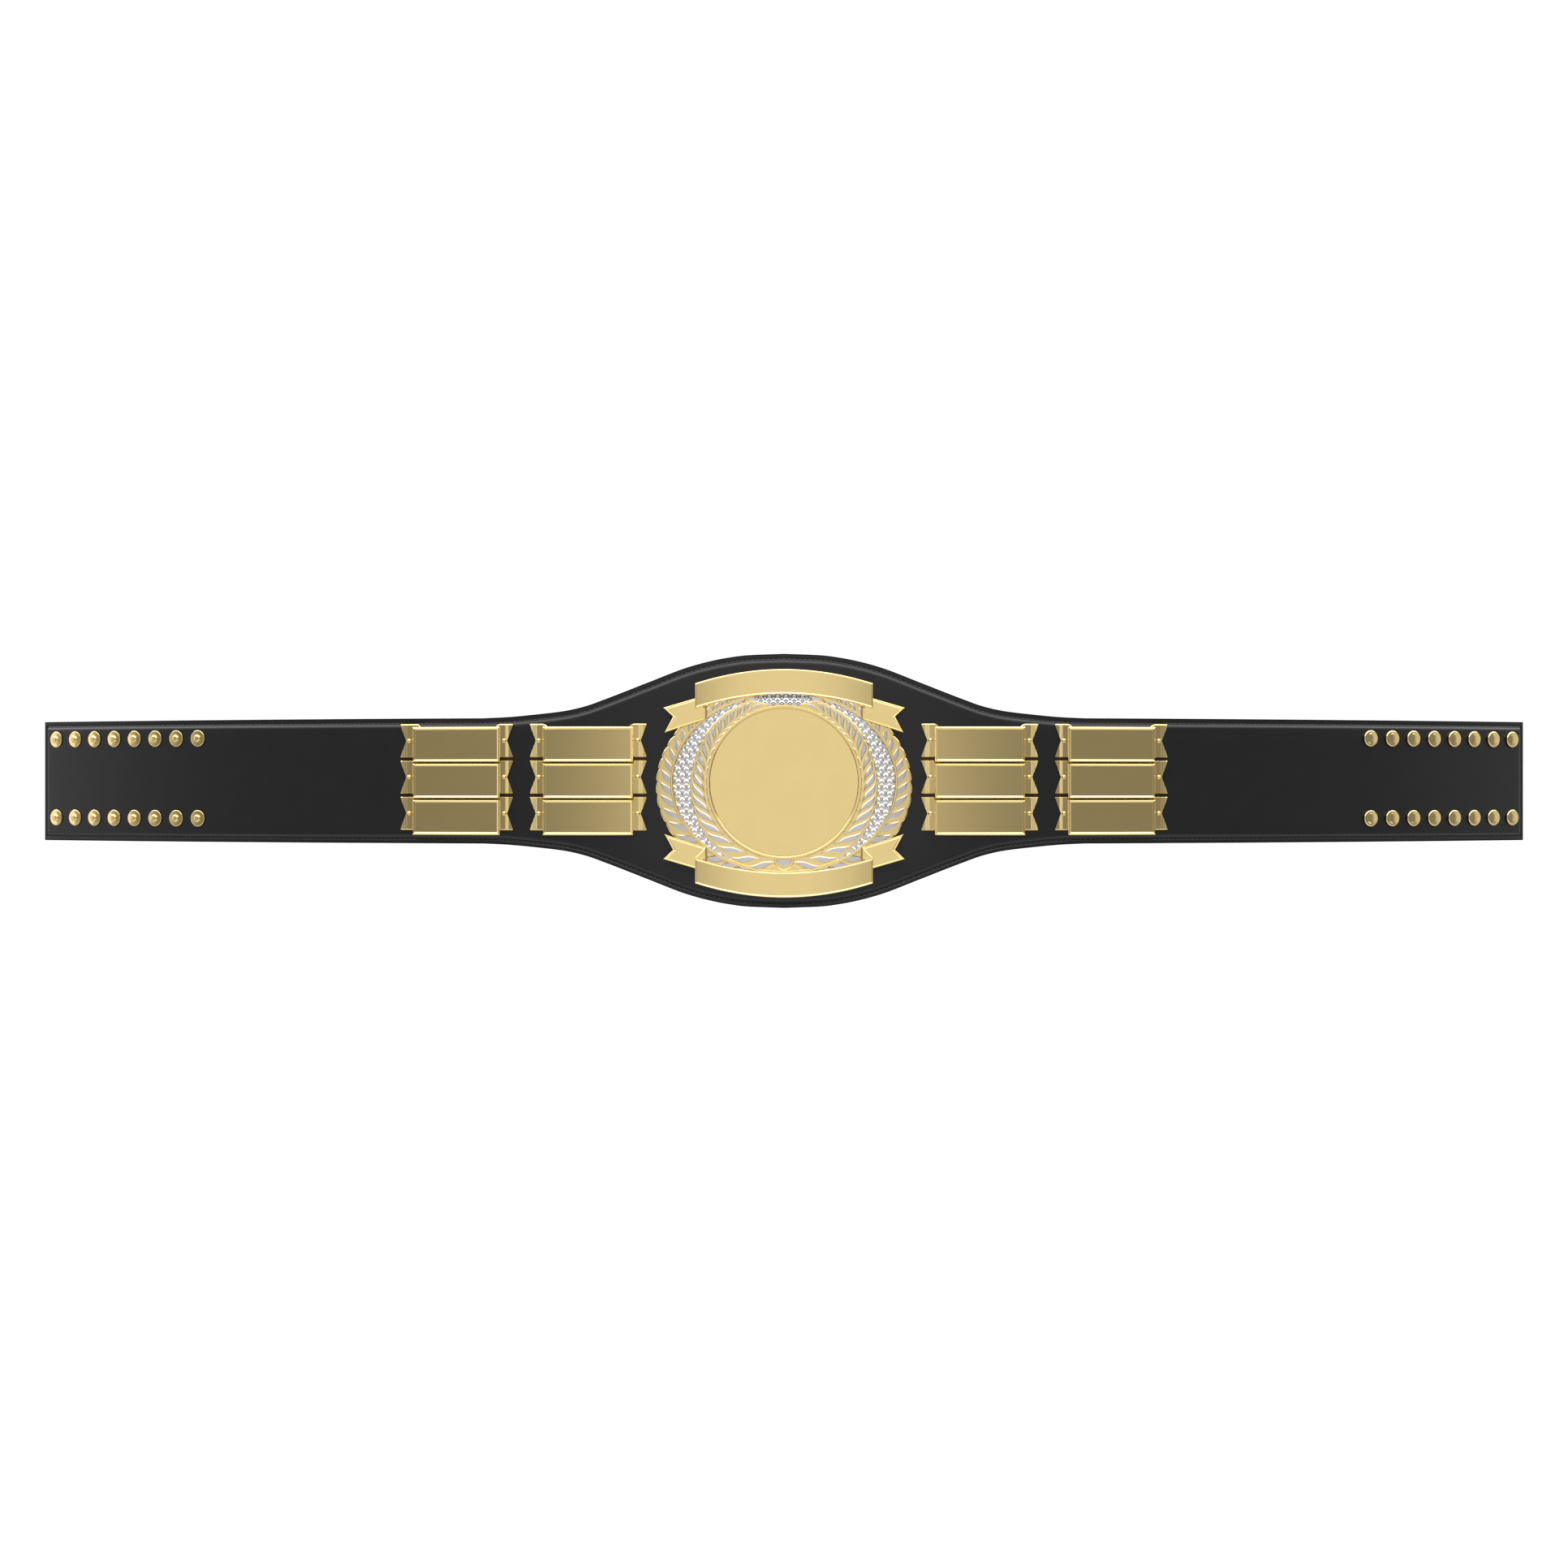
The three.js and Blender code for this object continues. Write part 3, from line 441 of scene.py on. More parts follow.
EDGE_INSETS = [0, 0.04, 0.12, 0.35, 0.8, 1.8, 2.85, 3.1, 3.5, 3.9, 4.15]
SHOULDER_INSETS = [BORDER_WIDTH + x for x in (0, 0.3, 0.6, 0.9, 1.2, 1.5, 1.8, 2.1, 2.6, 3.1, 3.7, 4.4)]
INSETS = EDGE_INSETS + SHOULDER_INSETS
STATION_STEP = 4
MIDDLE_COLUMNS = 8


def strap_stations():
    end = STRAP_LENGTH / 2
    inner = end - INSETS[-1]
    count = round(2 * inner / STATION_STEP)
    left = [-end + inset for inset in INSETS[:-1]]
    return left + steps(-inner, inner, count) + [-s for s in reversed(left)]


def leather_face(skin, rows):
    """One face of the strap from rows of (point, inset). The painted edge gets its own look."""
    ids = [skin.add([point for point, _ in row]) for row in rows]
    for i in range(len(rows) - 1):
        for j in range(len(rows[0]) - 1):
            inset = max(rows[i][j][1], rows[i + 1][j + 1][1], rows[i][j + 1][1], rows[i + 1][j][1])
            corners = (ids[i][j], ids[i][j + 1], ids[i + 1][j + 1], ids[i + 1][j])
            skin.face(corners, 1 if inset <= EDGE_PAINT + 0.01 else 0)
    return ids


def edge_loop(ids):
    """The outermost vertices of a grid, once round."""
    return ids[0] + [row[-1] for row in ids[1:]] + ids[-1][-2::-1] + [row[0] for row in ids[-2:0:-1]]


def wall_between(skin, first, second, look):
    for j in range(len(first)):
        k = (j + 1) % len(first)
        skin.face((first[j], first[k], second[k], second[j]), look)


def fill_band(skin, ring, look):
    """Closes a ring whose two long sides have matching points."""
    half = len(ring) // 2
    for j in range(half - 1):
        skin.face((ring[j], ring[j + 1], ring[-2 - j], ring[-1 - j]), look)


def strap_skin():
    """The strap's front and back faces and the painted edge between them."""
    skin = Skin()
    fronts, backs = [], []
    for s in strap_stations():
        half = half_width(s)
        stretch = 1 / slope_cosine(s)
        from_end = STRAP_LENGTH / 2 - abs(s)
        middle = half - INSETS[-1] * stretch
        upper = [(half - inset * stretch, inset) for inset in INSETS[:-1]]
        inner = [(z, INSETS[-1]) for z in steps(middle, -middle, MIDDLE_COLUMNS)]
        lower = [(-z, inset) for z, inset in reversed(upper)]
        row = [(z, least(inset, from_end)) for z, inset in upper + inner + lower]
        fronts.append([(spot(s, z, front_height(inset)), inset) for z, inset in row])
        backs.append([(spot(s, z, back_height(inset)), inset) for z, inset in row])
    front = leather_face(skin, fronts)
    back = leather_face(skin, backs)
    wall_between(skin, edge_loop(front), edge_loop(back), 1)
    return skin


def make_strap():
    """The padded strap."""
    strap = piece("leather_strap", strap_skin(), [HIDE, PAINT], ["strap"], sharp=60)


STITCH_PITCH = 4.2
STITCH_LENGTH = 3
STITCH_RADIUS = 0.34
STITCH_SIDES = 6
STITCH_FLATNESS = 0.8

# A stitch along its length: share of its length from its middle, share of its lift, share of its radius.
STITCH_PROFILE = [
    (-0.5, 0, 0.45), (-0.42, 0.5, 0.85), (-0.2, 0.9, 1), (0.2, 0.9, 1), (0.42, 0.5, 0.85), (0.5, 0, 0.45),
]


def stitch_path():
    """Points (s, z) along the stitch line, all the way round, with one point for each stitch end."""
    end = STRAP_LENGTH / 2 - STITCH_INSET
    top = [(s, half_width(s) - STITCH_INSET / slope_cosine(s)) for s in steps(-end, end, 700)]
    corner = top[0][1]
    right = [(end, z) for z in steps(corner, -corner, 40)][1:-1]
    bottom = [(s, -z) for s, z in reversed(top)]
    left = [(-end, z) for z in steps(-corner, corner, 40)][1:-1]
    return top + right + bottom + left


def even_spots(path, pitch):
    """Evenly spaced (s, z, turn) along a closed path."""
    places = []
    left_over = 0.0
    for (s0, z0), (s1, z1) in zip(path, path[1:] + path[:1]):
        length = math.hypot(s1 - s0, z1 - z0)
        turn = math.atan2(z1 - z0, s1 - s0)
        while left_over < length:
            share = left_over / length
            places.append((lerp(s0, s1, share), lerp(z0, z1, share), turn))
            left_over += pitch
        left_over -= length
    return places


def stitch_skin(h, lift, sign):
    """Short threads that dive into the leather at both ends."""
    skin = Skin()
    for s, z, turn in even_spots(stitch_path(), STITCH_PITCH):
        along = (math.cos(turn), math.sin(turn))
        rows = []
        for out, rise, size in STITCH_PROFILE:
            s1 = s + out * STITCH_LENGTH * along[0]
            z1 = z + out * STITCH_LENGTH * along[1]
            ring = []
            for k in range(STITCH_SIDES):
                angle = 2 * math.pi * k / STITCH_SIDES
                side = STITCH_RADIUS * size * math.cos(angle)
                up = STITCH_RADIUS * size * math.sin(angle) * STITCH_FLATNESS
                ring.append(spot(s1 - side * along[1], z1 + side * along[0], h + sign * (lift * rise + up)))
            rows.append(ring)
        ids = skin.grid(rows, around_row=True)
        skin.close(ids)
    return skin


def make_stitches():
    """Stitches of the front and the back in one piece, each a little sunk in its groove."""
    front = stitch_skin(BORDER_TOP - GROOVE_DEPTH - 0.1, 0.25, 1)
    back = stitch_skin(-PAD + BACK_GROOVE_DEPTH - 0.05, 0.2, -1)
    front.copy(back, Matrix.Identity(4))
    piece("strap_stitches", front, [WAXED], sharp=80)


# Snaps

SNAPS_PER_ROW = 8
SNAP_PITCH = 21.85
SNAP_FROM_END = 17.2
SNAP_ROW_SPACING = 66.7
SNAP_ROW_RISE = 2.2
SNAP_SIDES = 40
SEAT = 0.3

# Profiles of the snaps from front to back: radius and height above the strap's face.
POST_PROFILE = [
    (0, 1.9), (0.58, 1.9), (0.62, 2.7), (0.8, 2.93), (1.15, 3.0), (1.7, 2.94), (2.25, 2.76), (2.7, 2.46),
    (2.98, 2.05), (3.08, 1.6), (3.1, 1.14), (3.3, 1.1), (6.1, 1.1), (6.5, 1.04), (6.75, 0.85), (6.8, 0.6),
    (6.65, 0.38), (6.3, 0.3), (2, 0.3), (2, -7.3), (5.2, -7.3), (5.5, -7.6), (5.2, -8.1), (4, -8.5),
    (0, -8.5),
]
CAP_PROFILE = [
    (0, 3.3), (1.2, 3.27), (2.6, 3.1), (3.8, 2.82), (4.7, 2.52), (5.3, 2.36), (5.8, 2.32), (6.2, 2.22),
    (6.55, 1.98), (6.75, 1.6), (6.8, 1.2), (6.7, 0.75), (6.4, 0.42), (6, 0.3), (2, 0.3), (2, -7.3),
    (5.2, -7.3), (5.5, -7.6), (5.5, -10.1), (5.2, -10.5), (3.7, -10.5), (3.4, -10.2), (3.4, -8.2), (3, -8),
    (0, -8),
]


def snap_places(side):
    for row in (1, -1):
        for i in range(SNAPS_PER_ROW):
            s = side * (STRAP_LENGTH / 2 - SNAP_FROM_END - i * SNAP_PITCH)
            yield s, SNAP_ROW_RISE + row * SNAP_ROW_SPACING / 2


def make_snaps():
    for name, side, profile in (("snap_post", -1, POST_PROFILE), ("snap_cap", 1, CAP_PROFILE)):
        mesh = turned(profile, SNAP_SIDES).mesh(name, [SNAP])
        outward(mesh)
        mesh.set_sharp_from_angle(angle=math.radians(40))
        for i, (s, z) in enumerate(snap_places(side), 1):
            instance(f"{name}_look_{i:02d}", mesh, arc_matrix(s, z), f"{name}_{i:02d}")


# Side plates

COLUMN_START = 157.9
COLUMN_PITCH = 109.6
ROW_PITCH = 29.4
PANEL_LENGTH = 74
PANEL_HEIGHT = 28.5
PANEL_TOP = 3.9
PANEL_RECESS = 1
TAIL_REACH = 10.9
TAIL_HEIGHT = 26.9
TAIL_RISE = 3.1
TAIL_TOP = 1.9
TAIL_NOTCH = 5.1
TAIL_TUCK = 7
TUCK_SLANT_START = 1.5
TUCK_CUT = 4.6
TAIL_CORNER = 1.3
TAIL_BEVEL = 0.75
RIVET_OUT = 3.45

# Panel section from its foot to its recessed face: inset from the edge, height, and look.
PANEL_SECTION = [
    (0.25, SEAT, EDGE), (0, SEAT + 0.25, EDGE), (0, PANEL_TOP - 1.05, EDGE), (0.08, PANEL_TOP - 0.93, EDGE),
    (0.95, PANEL_TOP - 0.06, EDGE), (1.05, PANEL_TOP, EDGE), (1.15, PANEL_TOP - 0.06, EDGE),
    (2.1, PANEL_TOP - 0.94, EDGE), (2.25, PANEL_TOP - PANEL_RECESS, FLAT),
    (2.45, PANEL_TOP - PANEL_RECESS, FLAT),
]
PANEL_COLUMNS = 12

# Waves of a tail's ribbon: distance out from the panel's edge and height above the tail's face.
# The tail towards the belt's middle falls away from the panel, and the other one rises.
TAIL_WAVES_INNER = [
    (-9, 0), (4.2, 0), (4.5, -0.03), (7.0, -0.47), (7.3, -0.5), (8.0, -0.5), (8.25, -0.53), (8.5, -0.5),
    (9.1, -0.5), (9.35, -0.53), (9.6, -0.5), (11, -0.5),
]
TAIL_WAVES_OUTER = [
    (-9, 0), (4.7, 0), (5, 0.03), (6.3, 0.22), (6.6, 0.22), (7.6, 0.38), (7.9, 0.38), (9, 0.56),
    (9.9, 0.66), (10.2, 0.66), (11, 0.6),
]


def rectangle(half_s, half_z, columns):
    """Points round a rectangle with enough of them along its long sides to bend."""
    lower = [(s, -half_z) for s in steps(-half_s, half_s, columns)]
    upper = [(s, half_z) for s in steps(half_s, -half_s, columns)]
    return lower + upper


def panel_skin(skin):
    """A blank panel with a raised frame round its recessed face."""
    rows = []
    for inset, h, _ in PANEL_SECTION:
        ring = rectangle(PANEL_LENGTH / 2 - inset, PANEL_HEIGHT / 2 - inset, PANEL_COLUMNS)
        rows.append([spot(s, z, h) for s, z in ring])
    ids = [skin.add(row) for row in rows]
    for (_, _, look), outer, inner in zip(PANEL_SECTION, ids, ids[1:]):
        wall_between(skin, outer, inner, look)
    fill_band(skin, ids[-1], FLAT)
    fill_band(skin, ids[0], EDGE)


def tail_skin(skin, side, tuck_top, vertical_cut, waves):
    """A swallow tail with a waved ribbon surface and a notch in its end."""
    low = TAIL_RISE - TAIL_HEIGHT / 2
    top = TAIL_RISE + TAIL_HEIGHT / 2
    tip = TAIL_REACH
    notch = TAIL_REACH - TAIL_NOTCH

    def height(u):
        return TAIL_TOP + curve_through(waves, u)

    def halves(u):
        """Upper and lower spans (z from, z to) at a distance u out from the panel's edge."""
        upper_top = top
        if u < SEAT:
            upper_top = tuck_top if vertical_cut else tuck_top - max(0, -u - TUCK_SLANT_START)
            if vertical_cut and u < -TUCK_CUT:
                upper_top = min(tuck_top, PANEL_HEIGHT / 2 - 1)
        opening = max(0, (u - notch) / (tip - notch)) * TAIL_HEIGHT / 2
        past = max(0, u - (tip - TAIL_CORNER)) / TAIL_CORNER
        corner = TAIL_CORNER * (1 - math.sqrt(max(0, 1 - past * past)))
        opening = min(opening, TAIL_HEIGHT / 2 - corner - 0.02)
        return (TAIL_RISE + opening, upper_top - corner), (low + corner, TAIL_RISE - opening)

    outs = [-TAIL_TUCK, -TUCK_CUT, -2.4, 0, SEAT, 2.5, 4, 4.2, 4.5, 4.7, 5, 5.4, 5.8]
    outs += [6.3, 6.6, 7, 7.3, 7.6, 7.9, 8.1, 8.25, 8.4, 9, 9.2, 9.35, 9.5, 9.9, 10.2, 10.5, 10.75, tip]
    for which in (0, 1):
        fronts, backs = [], []
        for u in outs:
            z0, z1 = halves(u)[which]
            s = side * (PANEL_LENGTH / 2 + u)
            low_edge, high_edge = (0, TAIL_BEVEL) if which == 0 else (TAIL_BEVEL, 0)
            room = z1 - z0
            insets = [0, min(low_edge, room / 3), room - min(high_edge, room / 3), room]
            drops = [min(low_edge, room / 3), 0, 0, min(high_edge, room / 3)]
            fronts.append([spot(s, z0 + out, height(u) - drop) for out, drop in zip(insets, drops)])
            backs.append([spot(s, z0 + out, SEAT) for out in insets])
        wall_between(skin, edge_loop(skin.grid(fronts)), edge_loop(skin.grid(backs)), EDGE)


RIVET_PROFILE = [
    (0, 1.5), (0.75, 1.42), (1.3, 1.12), (1.65, 0.65), (1.8, 0.1), (1.7, -0.3), (1, -0.4), (1, -5.8),
    (0, -5.8),
]


def rivet_skin(skin, side):
    """A domed nail head in a tail. Its shank ends in the leather."""
    profile = [(radius, TAIL_TOP + h) for radius, h in RIVET_PROFILE]
    rivet = turned(profile, 20)
    rivet.looks = [EDGE] * len(rivet.faces)
    skin.copy(rivet, arc_matrix(side * (PANEL_LENGTH / 2 + RIVET_OUT), TAIL_RISE))


def make_side_plates():
    """Columns from left to right, rows from the top down, as the nodes are numbered."""
    number = 0
    columns = [-COLUMN_START - COLUMN_PITCH, -COLUMN_START, COLUMN_START, COLUMN_START + COLUMN_PITCH]
    below = ROW_PITCH - PANEL_HEIGHT / 2 - SEAT
    above = TAIL_RISE + TAIL_HEIGHT / 2
    for column, s in enumerate(columns):
        for row in (1, 0, -1):
            number += 1
            skin = Skin()
            panel_skin(skin)
            for side in (-1, 1):
                cut = row != 1 or (column == 0 and side == -1)
                waves = TAIL_WAVES_INNER if side * s < 0 else TAIL_WAVES_OUTER
                tail_skin(skin, side, above if row == 1 else below, cut, waves)
                rivet_skin(skin, side)
            mesh = skin.mesh(f"side_plate_look_{number:02d}", PLATE_LOOKS)
            outward(mesh)
            mesh.set_sharp_from_angle(angle=math.radians(24))
            place = arc_matrix(s, row * ROW_PITCH)
            instance(mesh.name, mesh, place, f"side_plate_{number:02d}")


# Centre plate

PLATE_TOP = 2.3
ON_PLATE = 2.6
RAIL_HALF_LENGTH = 90.8
RAIL_HALF_HEIGHT = 73.2
RAIL_WIDTH = 2.3
RAIL_LEVEL_TO = 40
RAIL_TILT = 0.62
DISC_RADIUS = 59
DISC_TOP = 4.6
DISC_LOW = 2.62
RIM_OUTER_RADIUS = 61.7
LAUREL_TOP = 4.6
OUTER_TOP = 3.4
ROUND_STEPS = 160
ROUND = [2 * math.pi * k / ROUND_STEPS for k in range(ROUND_STEPS)]


def ellipse_reach(angle, half_length, half_height):
    turn = math.radians(angle)
    return 1 / math.hypot(math.sin(turn) / half_length, math.cos(turn) / half_height)


def ellipse_spot(turn, inset, h):
    """A point an inset inside the rail's outer ellipse."""
    s = (RAIL_HALF_LENGTH - inset) * math.sin(turn)
    return spot(s, (RAIL_HALF_HEIGHT - inset) * math.cos(turn) - PLATE_DROP, h)


BACKING_SECTION = [
    (40, SEAT), (0.3, SEAT), (0, SEAT + 0.3), (0, PLATE_TOP - 0.3), (0.3, PLATE_TOP), (40, PLATE_TOP),
]
POST_PLACES = [(x, z) for x in (-62, 62) for z in (-26, 26)]
POST_PROFILE_BACK = [(0, SEAT + 0.5), (2.5, SEAT + 0.5), (2.5, -4.6), (2.1, -5), (0, -5)]


def make_backing():
    """The thin gold sheet under the wreath, with its four posts through the leather."""
    skin = Skin()
    rows = [[ellipse_spot(turn, inset, h) for turn in ROUND] for inset, h in BACKING_SECTION]
    ids = skin.grid(rows, around_row=True)
    skin.close(ids)
    for x, z in POST_PLACES:
        skin.copy(turned(POST_PROFILE_BACK, 24), arc_matrix(x, z - PLATE_DROP))
    piece("backing_sheet", skin, PLATE_LOOKS, ["backing_plate"])


# Rail section: inset from its outer edge and height.
RAIL_SECTION = [
    (0.1, ON_PLATE), (0, ON_PLATE + 0.3), (0, 4.72), (0.05, 4.82), (0.22, 4.97), (0.32, 5.0), (0.42, 4.99),
    (0.62, 4.92), (0.72, 4.9), (0.85, 4.9), (1.45, 4.9), (1.58, 4.9), (1.68, 4.92), (1.88, 4.99),
    (1.98, 5.0), (2.08, 4.97), (2.25, 4.82), (2.3, 4.72), (2.3, 2.9), (2.2, ON_PLATE),
]


def rail_height(turn, inset, h):
    """Height of the rail's section, whose upper part turns towards the front near the rail's ends."""
    s = (RAIL_HALF_LENGTH - inset) * math.sin(turn)
    if h < ON_PLATE + 1 or abs(s) <= RAIL_LEVEL_TO:
        return h
    return h + RAIL_TILT * rise_to_front(s, RAIL_LEVEL_TO)


def make_rail():
    """A flat rail with a fine raised line along each edge."""
    skin = Skin()
    rows = [
        [ellipse_spot(turn, inset, rail_height(turn, inset, h)) for inset, h in RAIL_SECTION]
        for turn in ROUND
    ]
    skin.grid(rows, around_row=True, around_column=True)
    piece("rail_look", skin, PLATE_LOOKS, ["oval_rail"])


def flat_height(s, h):
    """Height that keeps a point level with the plate's middle although the layout bends."""
    return h + (FACE_RADIUS + h) * (1 / math.cos(s / FACE_RADIUS) - 1)


def rise_to_front(s, base):
    """How much a plane that faces the front rises above the bent layout between two places."""
    return flat_height(s, 0) - flat_height(base, 0)


def disc_row(radius, h):
    """A ring of the disc or its rim, which keeps level while the plate round it bends."""
    row = []
    for turn in ROUND:
        s = radius * math.sin(turn)
        row.append(spot(s, radius * math.cos(turn) - PLATE_DROP, flat_height(s, h)))
    return row


DISC_SECTION = [
    (DISC_RADIUS - 9, DISC_LOW), (DISC_RADIUS - 0.1, DISC_LOW), (DISC_RADIUS, 2.8), (DISC_RADIUS, 4.45),
    (DISC_RADIUS - 0.15, DISC_TOP), (DISC_RADIUS - 9, DISC_TOP),
]


def make_disc():
    """The blank flat disc."""
    skin = Skin()
    ids = skin.grid([disc_row(radius, h) for radius, h in DISC_SECTION], around_row=True)
    skin.close(ids)
    piece("disc_look", skin, PLATE_LOOKS, ["centre_disc"])


# Rim section: radius, height, and look.
RIM_SECTION = [
    (59.3, 2.75, EDGE), (59.3, 4.75, EDGE), (59.36, 4.85, EDGE), (59.78, 5.3, EDGE), (59.9, 5.35, FLAT),
    (60.1, 5.35, FLAT), (61.15, 5.35, FLAT), (61.35, 5.35, FLAT), (61.45, 5.3, EDGE), (61.66, 5.1, EDGE),
    (RIM_OUTER_RADIUS, 5.0, EDGE), (RIM_OUTER_RADIUS, 2.75, EDGE),
]


def make_disc_rim():
    """The raised rim: a flat ring that faces the front, with a bevel at each edge."""
    skin = Skin()
    rings = [disc_row(radius, h) for radius, h, _ in RIM_SECTION]
    looks = [look for _, _, look in RIM_SECTION]
    skin.grid(list(zip(*rings)), around_row=True, around_column=True, looks=looks)
    piece("disc_rim_look", skin, PLATE_LOOKS, ["disc_rim"])


# Leaves

# Leaves of the inner branch: number, angle of the root, angle of the tip and reach of the tip.
INNER_LEAVES = [
    (0, 5.6, 22.7, 72.6), (3, 38.8, 57.2, 73.4), (6, 67, 82.6, 73.2), (9, 90.4, 103.6, 71.8),
    (13, 119.3, 130.6, 71.2), (16, 137.2, 147.3, 69.8), (18, 148.1, 158.5, 68.9), (19, 152.7, 164.7, 63.9),
]
INNER_COUNT = 20
INNER_ROOT_REACH = 64
INNER_LEAF_WIDTH = 4.6
INNER_NARROWING = (1.05, 0.6)
INNER_SWAY = -0.8
INNER_BOW = 0.9
INNER_MARGIN = 2.3
INNER_SAW = 0.9
INNER_SAW_PITCH = 8
INNER_END = (156, 168)
INNER_END_REACH = 65
BRANCH_INNER_REACH = 61.8

# Stubs beside the stem: reach of the root and the tip, span in degrees, and width from first to last.
TICK_REACH = (63.5, 60.9)
TICK_SPAN = (4.2, 6.4)
TICK_WIDTH = (0.7, 1.25)

# Leaves of the outer branch: number, angle of the tip, reach of the tip and lean of the leaf.
OUTER_LEAVES = [
    (0, 30.5, 79.8, 8), (1, 38.5, 84, 8), (4, 64, 95.6, 7.6), (7, 84.5, 99.4, 6.4), (9, 96, 98.3, 5.4),
    (12, 113, 93.1, 5.8), (16, 136, 84.5, 6), (19, 153, 78.6, 6),
]
OUTER_COUNT = 20
OUTER_LEAF_WIDTH = 5.4
OUTER_NARROWING = (1.05, 0.72)
OUTER_BOW = 1.1
OUTER_UNDER_RAIL = 1.2
OUTER_MARGIN = 3.3
OUTER_NOTCH = 1.5


def column(rows, number):
    return [(row[0], row[number]) for row in rows]


def plate_point(angle, reach):
    turn = math.radians(angle)
    return Vector((reach * math.sin(turn), -reach * math.cos(turn)))


def leaf_outline(root, tip, width, widest, sway, bow, count=12):
    """Both sides of a leaf from its root to its tip, in plate coordinates of the right half."""
    along = tip - root
    across = Vector((along.y, -along.x)).normalized()
    left, right = [], []
    for t in steps(0, 1, count):
        bend = sway * math.sin(2 * math.pi * t) + bow * math.sin(math.pi * t)
        middle = root + along * t + across * bend
        swell = curve_through(widest, t) * width / 2
        left.append(middle - across * swell)
        right.append(middle + across * swell)
    return left, right


LIP_MARGIN = 0.12
LIP_RADIUS = 0.2

# Bevels of leaves and stubs: width and rise.
LEAF_BEVEL = (0.62, 0.5)
TICK_BEVEL = (0.5, 0.4)

# Width along a leaf: share of its length, share of its width.
INNER_SWELL = [
    (0, 0.05), (0.12, 0.2), (0.3, 0.62), (0.48, 0.97), (0.6, 1), (0.75, 0.72), (0.9, 0.3), (1, 0.04),
]
OUTER_SWELL = [(0, 1), (0.3, 0.98), (0.55, 0.82), (0.75, 0.52), (0.9, 0.22), (1, 0.03)]
TICK_SWELL = [(0, 0.08), (0.4, 0.7), (0.8, 1), (1, 0.9)]


def place_on(side, point, h):
    return spot(side * point.x, point.y - PLATE_DROP, h)


class Level:
    """Height of a branch's face: level with the disc by a share, measured from its inner reach."""

    def __init__(self, inner_reach, tilt, lift, bow=0):
        self.inner_reach = inner_reach
        self.tilt = tilt
        self.lift = lift
        self.bow = bow

    def at(self, point):
        """How far the face at a plate point lies above its height at the plate's middle."""
        angle = math.degrees(math.atan2(abs(point.x), -point.y))
        base = self.inner_reach(angle) * math.sin(math.radians(angle))
        rise = rise_to_front(point.x, base)
        return self.tilt * rise - self.bow * rise * abs(rise) + self.lift * rise_to_front(base, 0)


def rail_reach(angle):
    return ellipse_reach(angle, RAIL_HALF_LENGTH, RAIL_HALF_HEIGHT) + 0.05


INNER_LEVEL = Level(lambda angle: BRANCH_INNER_REACH, 1, 0.4)
OUTER_LEVEL = Level(rail_reach, 0.52, 0, bow=0.2)


def leaf_skin(skin, side, outline, top, level, bevel, rise):
    """A raised leaf: bevelled sides up to a slightly domed top."""
    left, right = outline
    rows = []
    for a, b in zip(left, right):
        half = (b - a).length / 2
        cut = min(bevel, half * 0.8)
        up = rise * cut / bevel
        middle = (a + b) / 2
        inward = (b - a).normalized() * cut if half > 0 else Vector((0, 0))
        base = top + level.at(middle)
        rows.append([
            place_on(side, a, base - 0.5), place_on(side, a, base), place_on(side, a + inward, base + up),
            place_on(side, middle, base + up * 1.06), place_on(side, b - inward, base + up),
            place_on(side, b, base), place_on(side, b, base - 0.5),
        ])
    ids = skin.grid(rows, around_row=True)
    skin.close(ids)


def bead_skin(skin, side, points, top, level, radius, closed=True, sides=6):
    """A thin round bead along a run of plate points."""
    count = len(points)
    rows = []
    for i, point in enumerate(points):
        before = points[(i - 1) % count] if closed or i > 0 else point
        after = points[(i + 1) % count] if closed or i < count - 1 else point
        along = (after - before).normalized()
        across = Vector((along.y, -along.x))
        h = top + level.at(point)
        rows.append([
            place_on(side, point + across * radius * math.cos(a), h + radius * math.sin(a))
            for a in [2 * math.pi * k / sides for k in range(sides)]
        ])
    ids = skin.grid(rows, around_row=True, around_column=closed, looks=[EDGE] * sides)
    if not closed:
        skin.close(ids, EDGE)


def grown(outline, margin):
    """The closed run of points a margin outside a leaf's outline."""
    left, right = outline
    run = []
    for side_points, sign in ((left, -1), (right, 1)):
        for i, point in enumerate(side_points):
            mate = (right if sign < 0 else left)[i]
            run.append(point + (point - mate).normalized() * margin)
    half = len(left)
    ends = []
    for end, next_in in ((-1, -2), (0, 1)):
        middle = left[end] + right[end]
        ends.append(middle / 2 + (middle - left[next_in] - right[next_in]).normalized() * margin)
    return run[:half] + [ends[0]] + run[half:][::-1] + [ends[1]]


def inner_leaf(i):
    """Outline of a leaf of the inner branch, numbered from the bud upward."""
    root_angle = curve_through(column(INNER_LEAVES, 1), i)
    tip_angle = curve_through(column(INNER_LEAVES, 2), i)
    tip_reach = curve_through(column(INNER_LEAVES, 3), i)
    root = plate_point(root_angle, INNER_ROOT_REACH)
    tip = plate_point(tip_angle, tip_reach)
    width = INNER_LEAF_WIDTH * lerp(*INNER_NARROWING, smoothstep(i, 1, 18))
    return leaf_outline(root, tip, width, INNER_SWELL, INNER_SWAY, INNER_BOW)


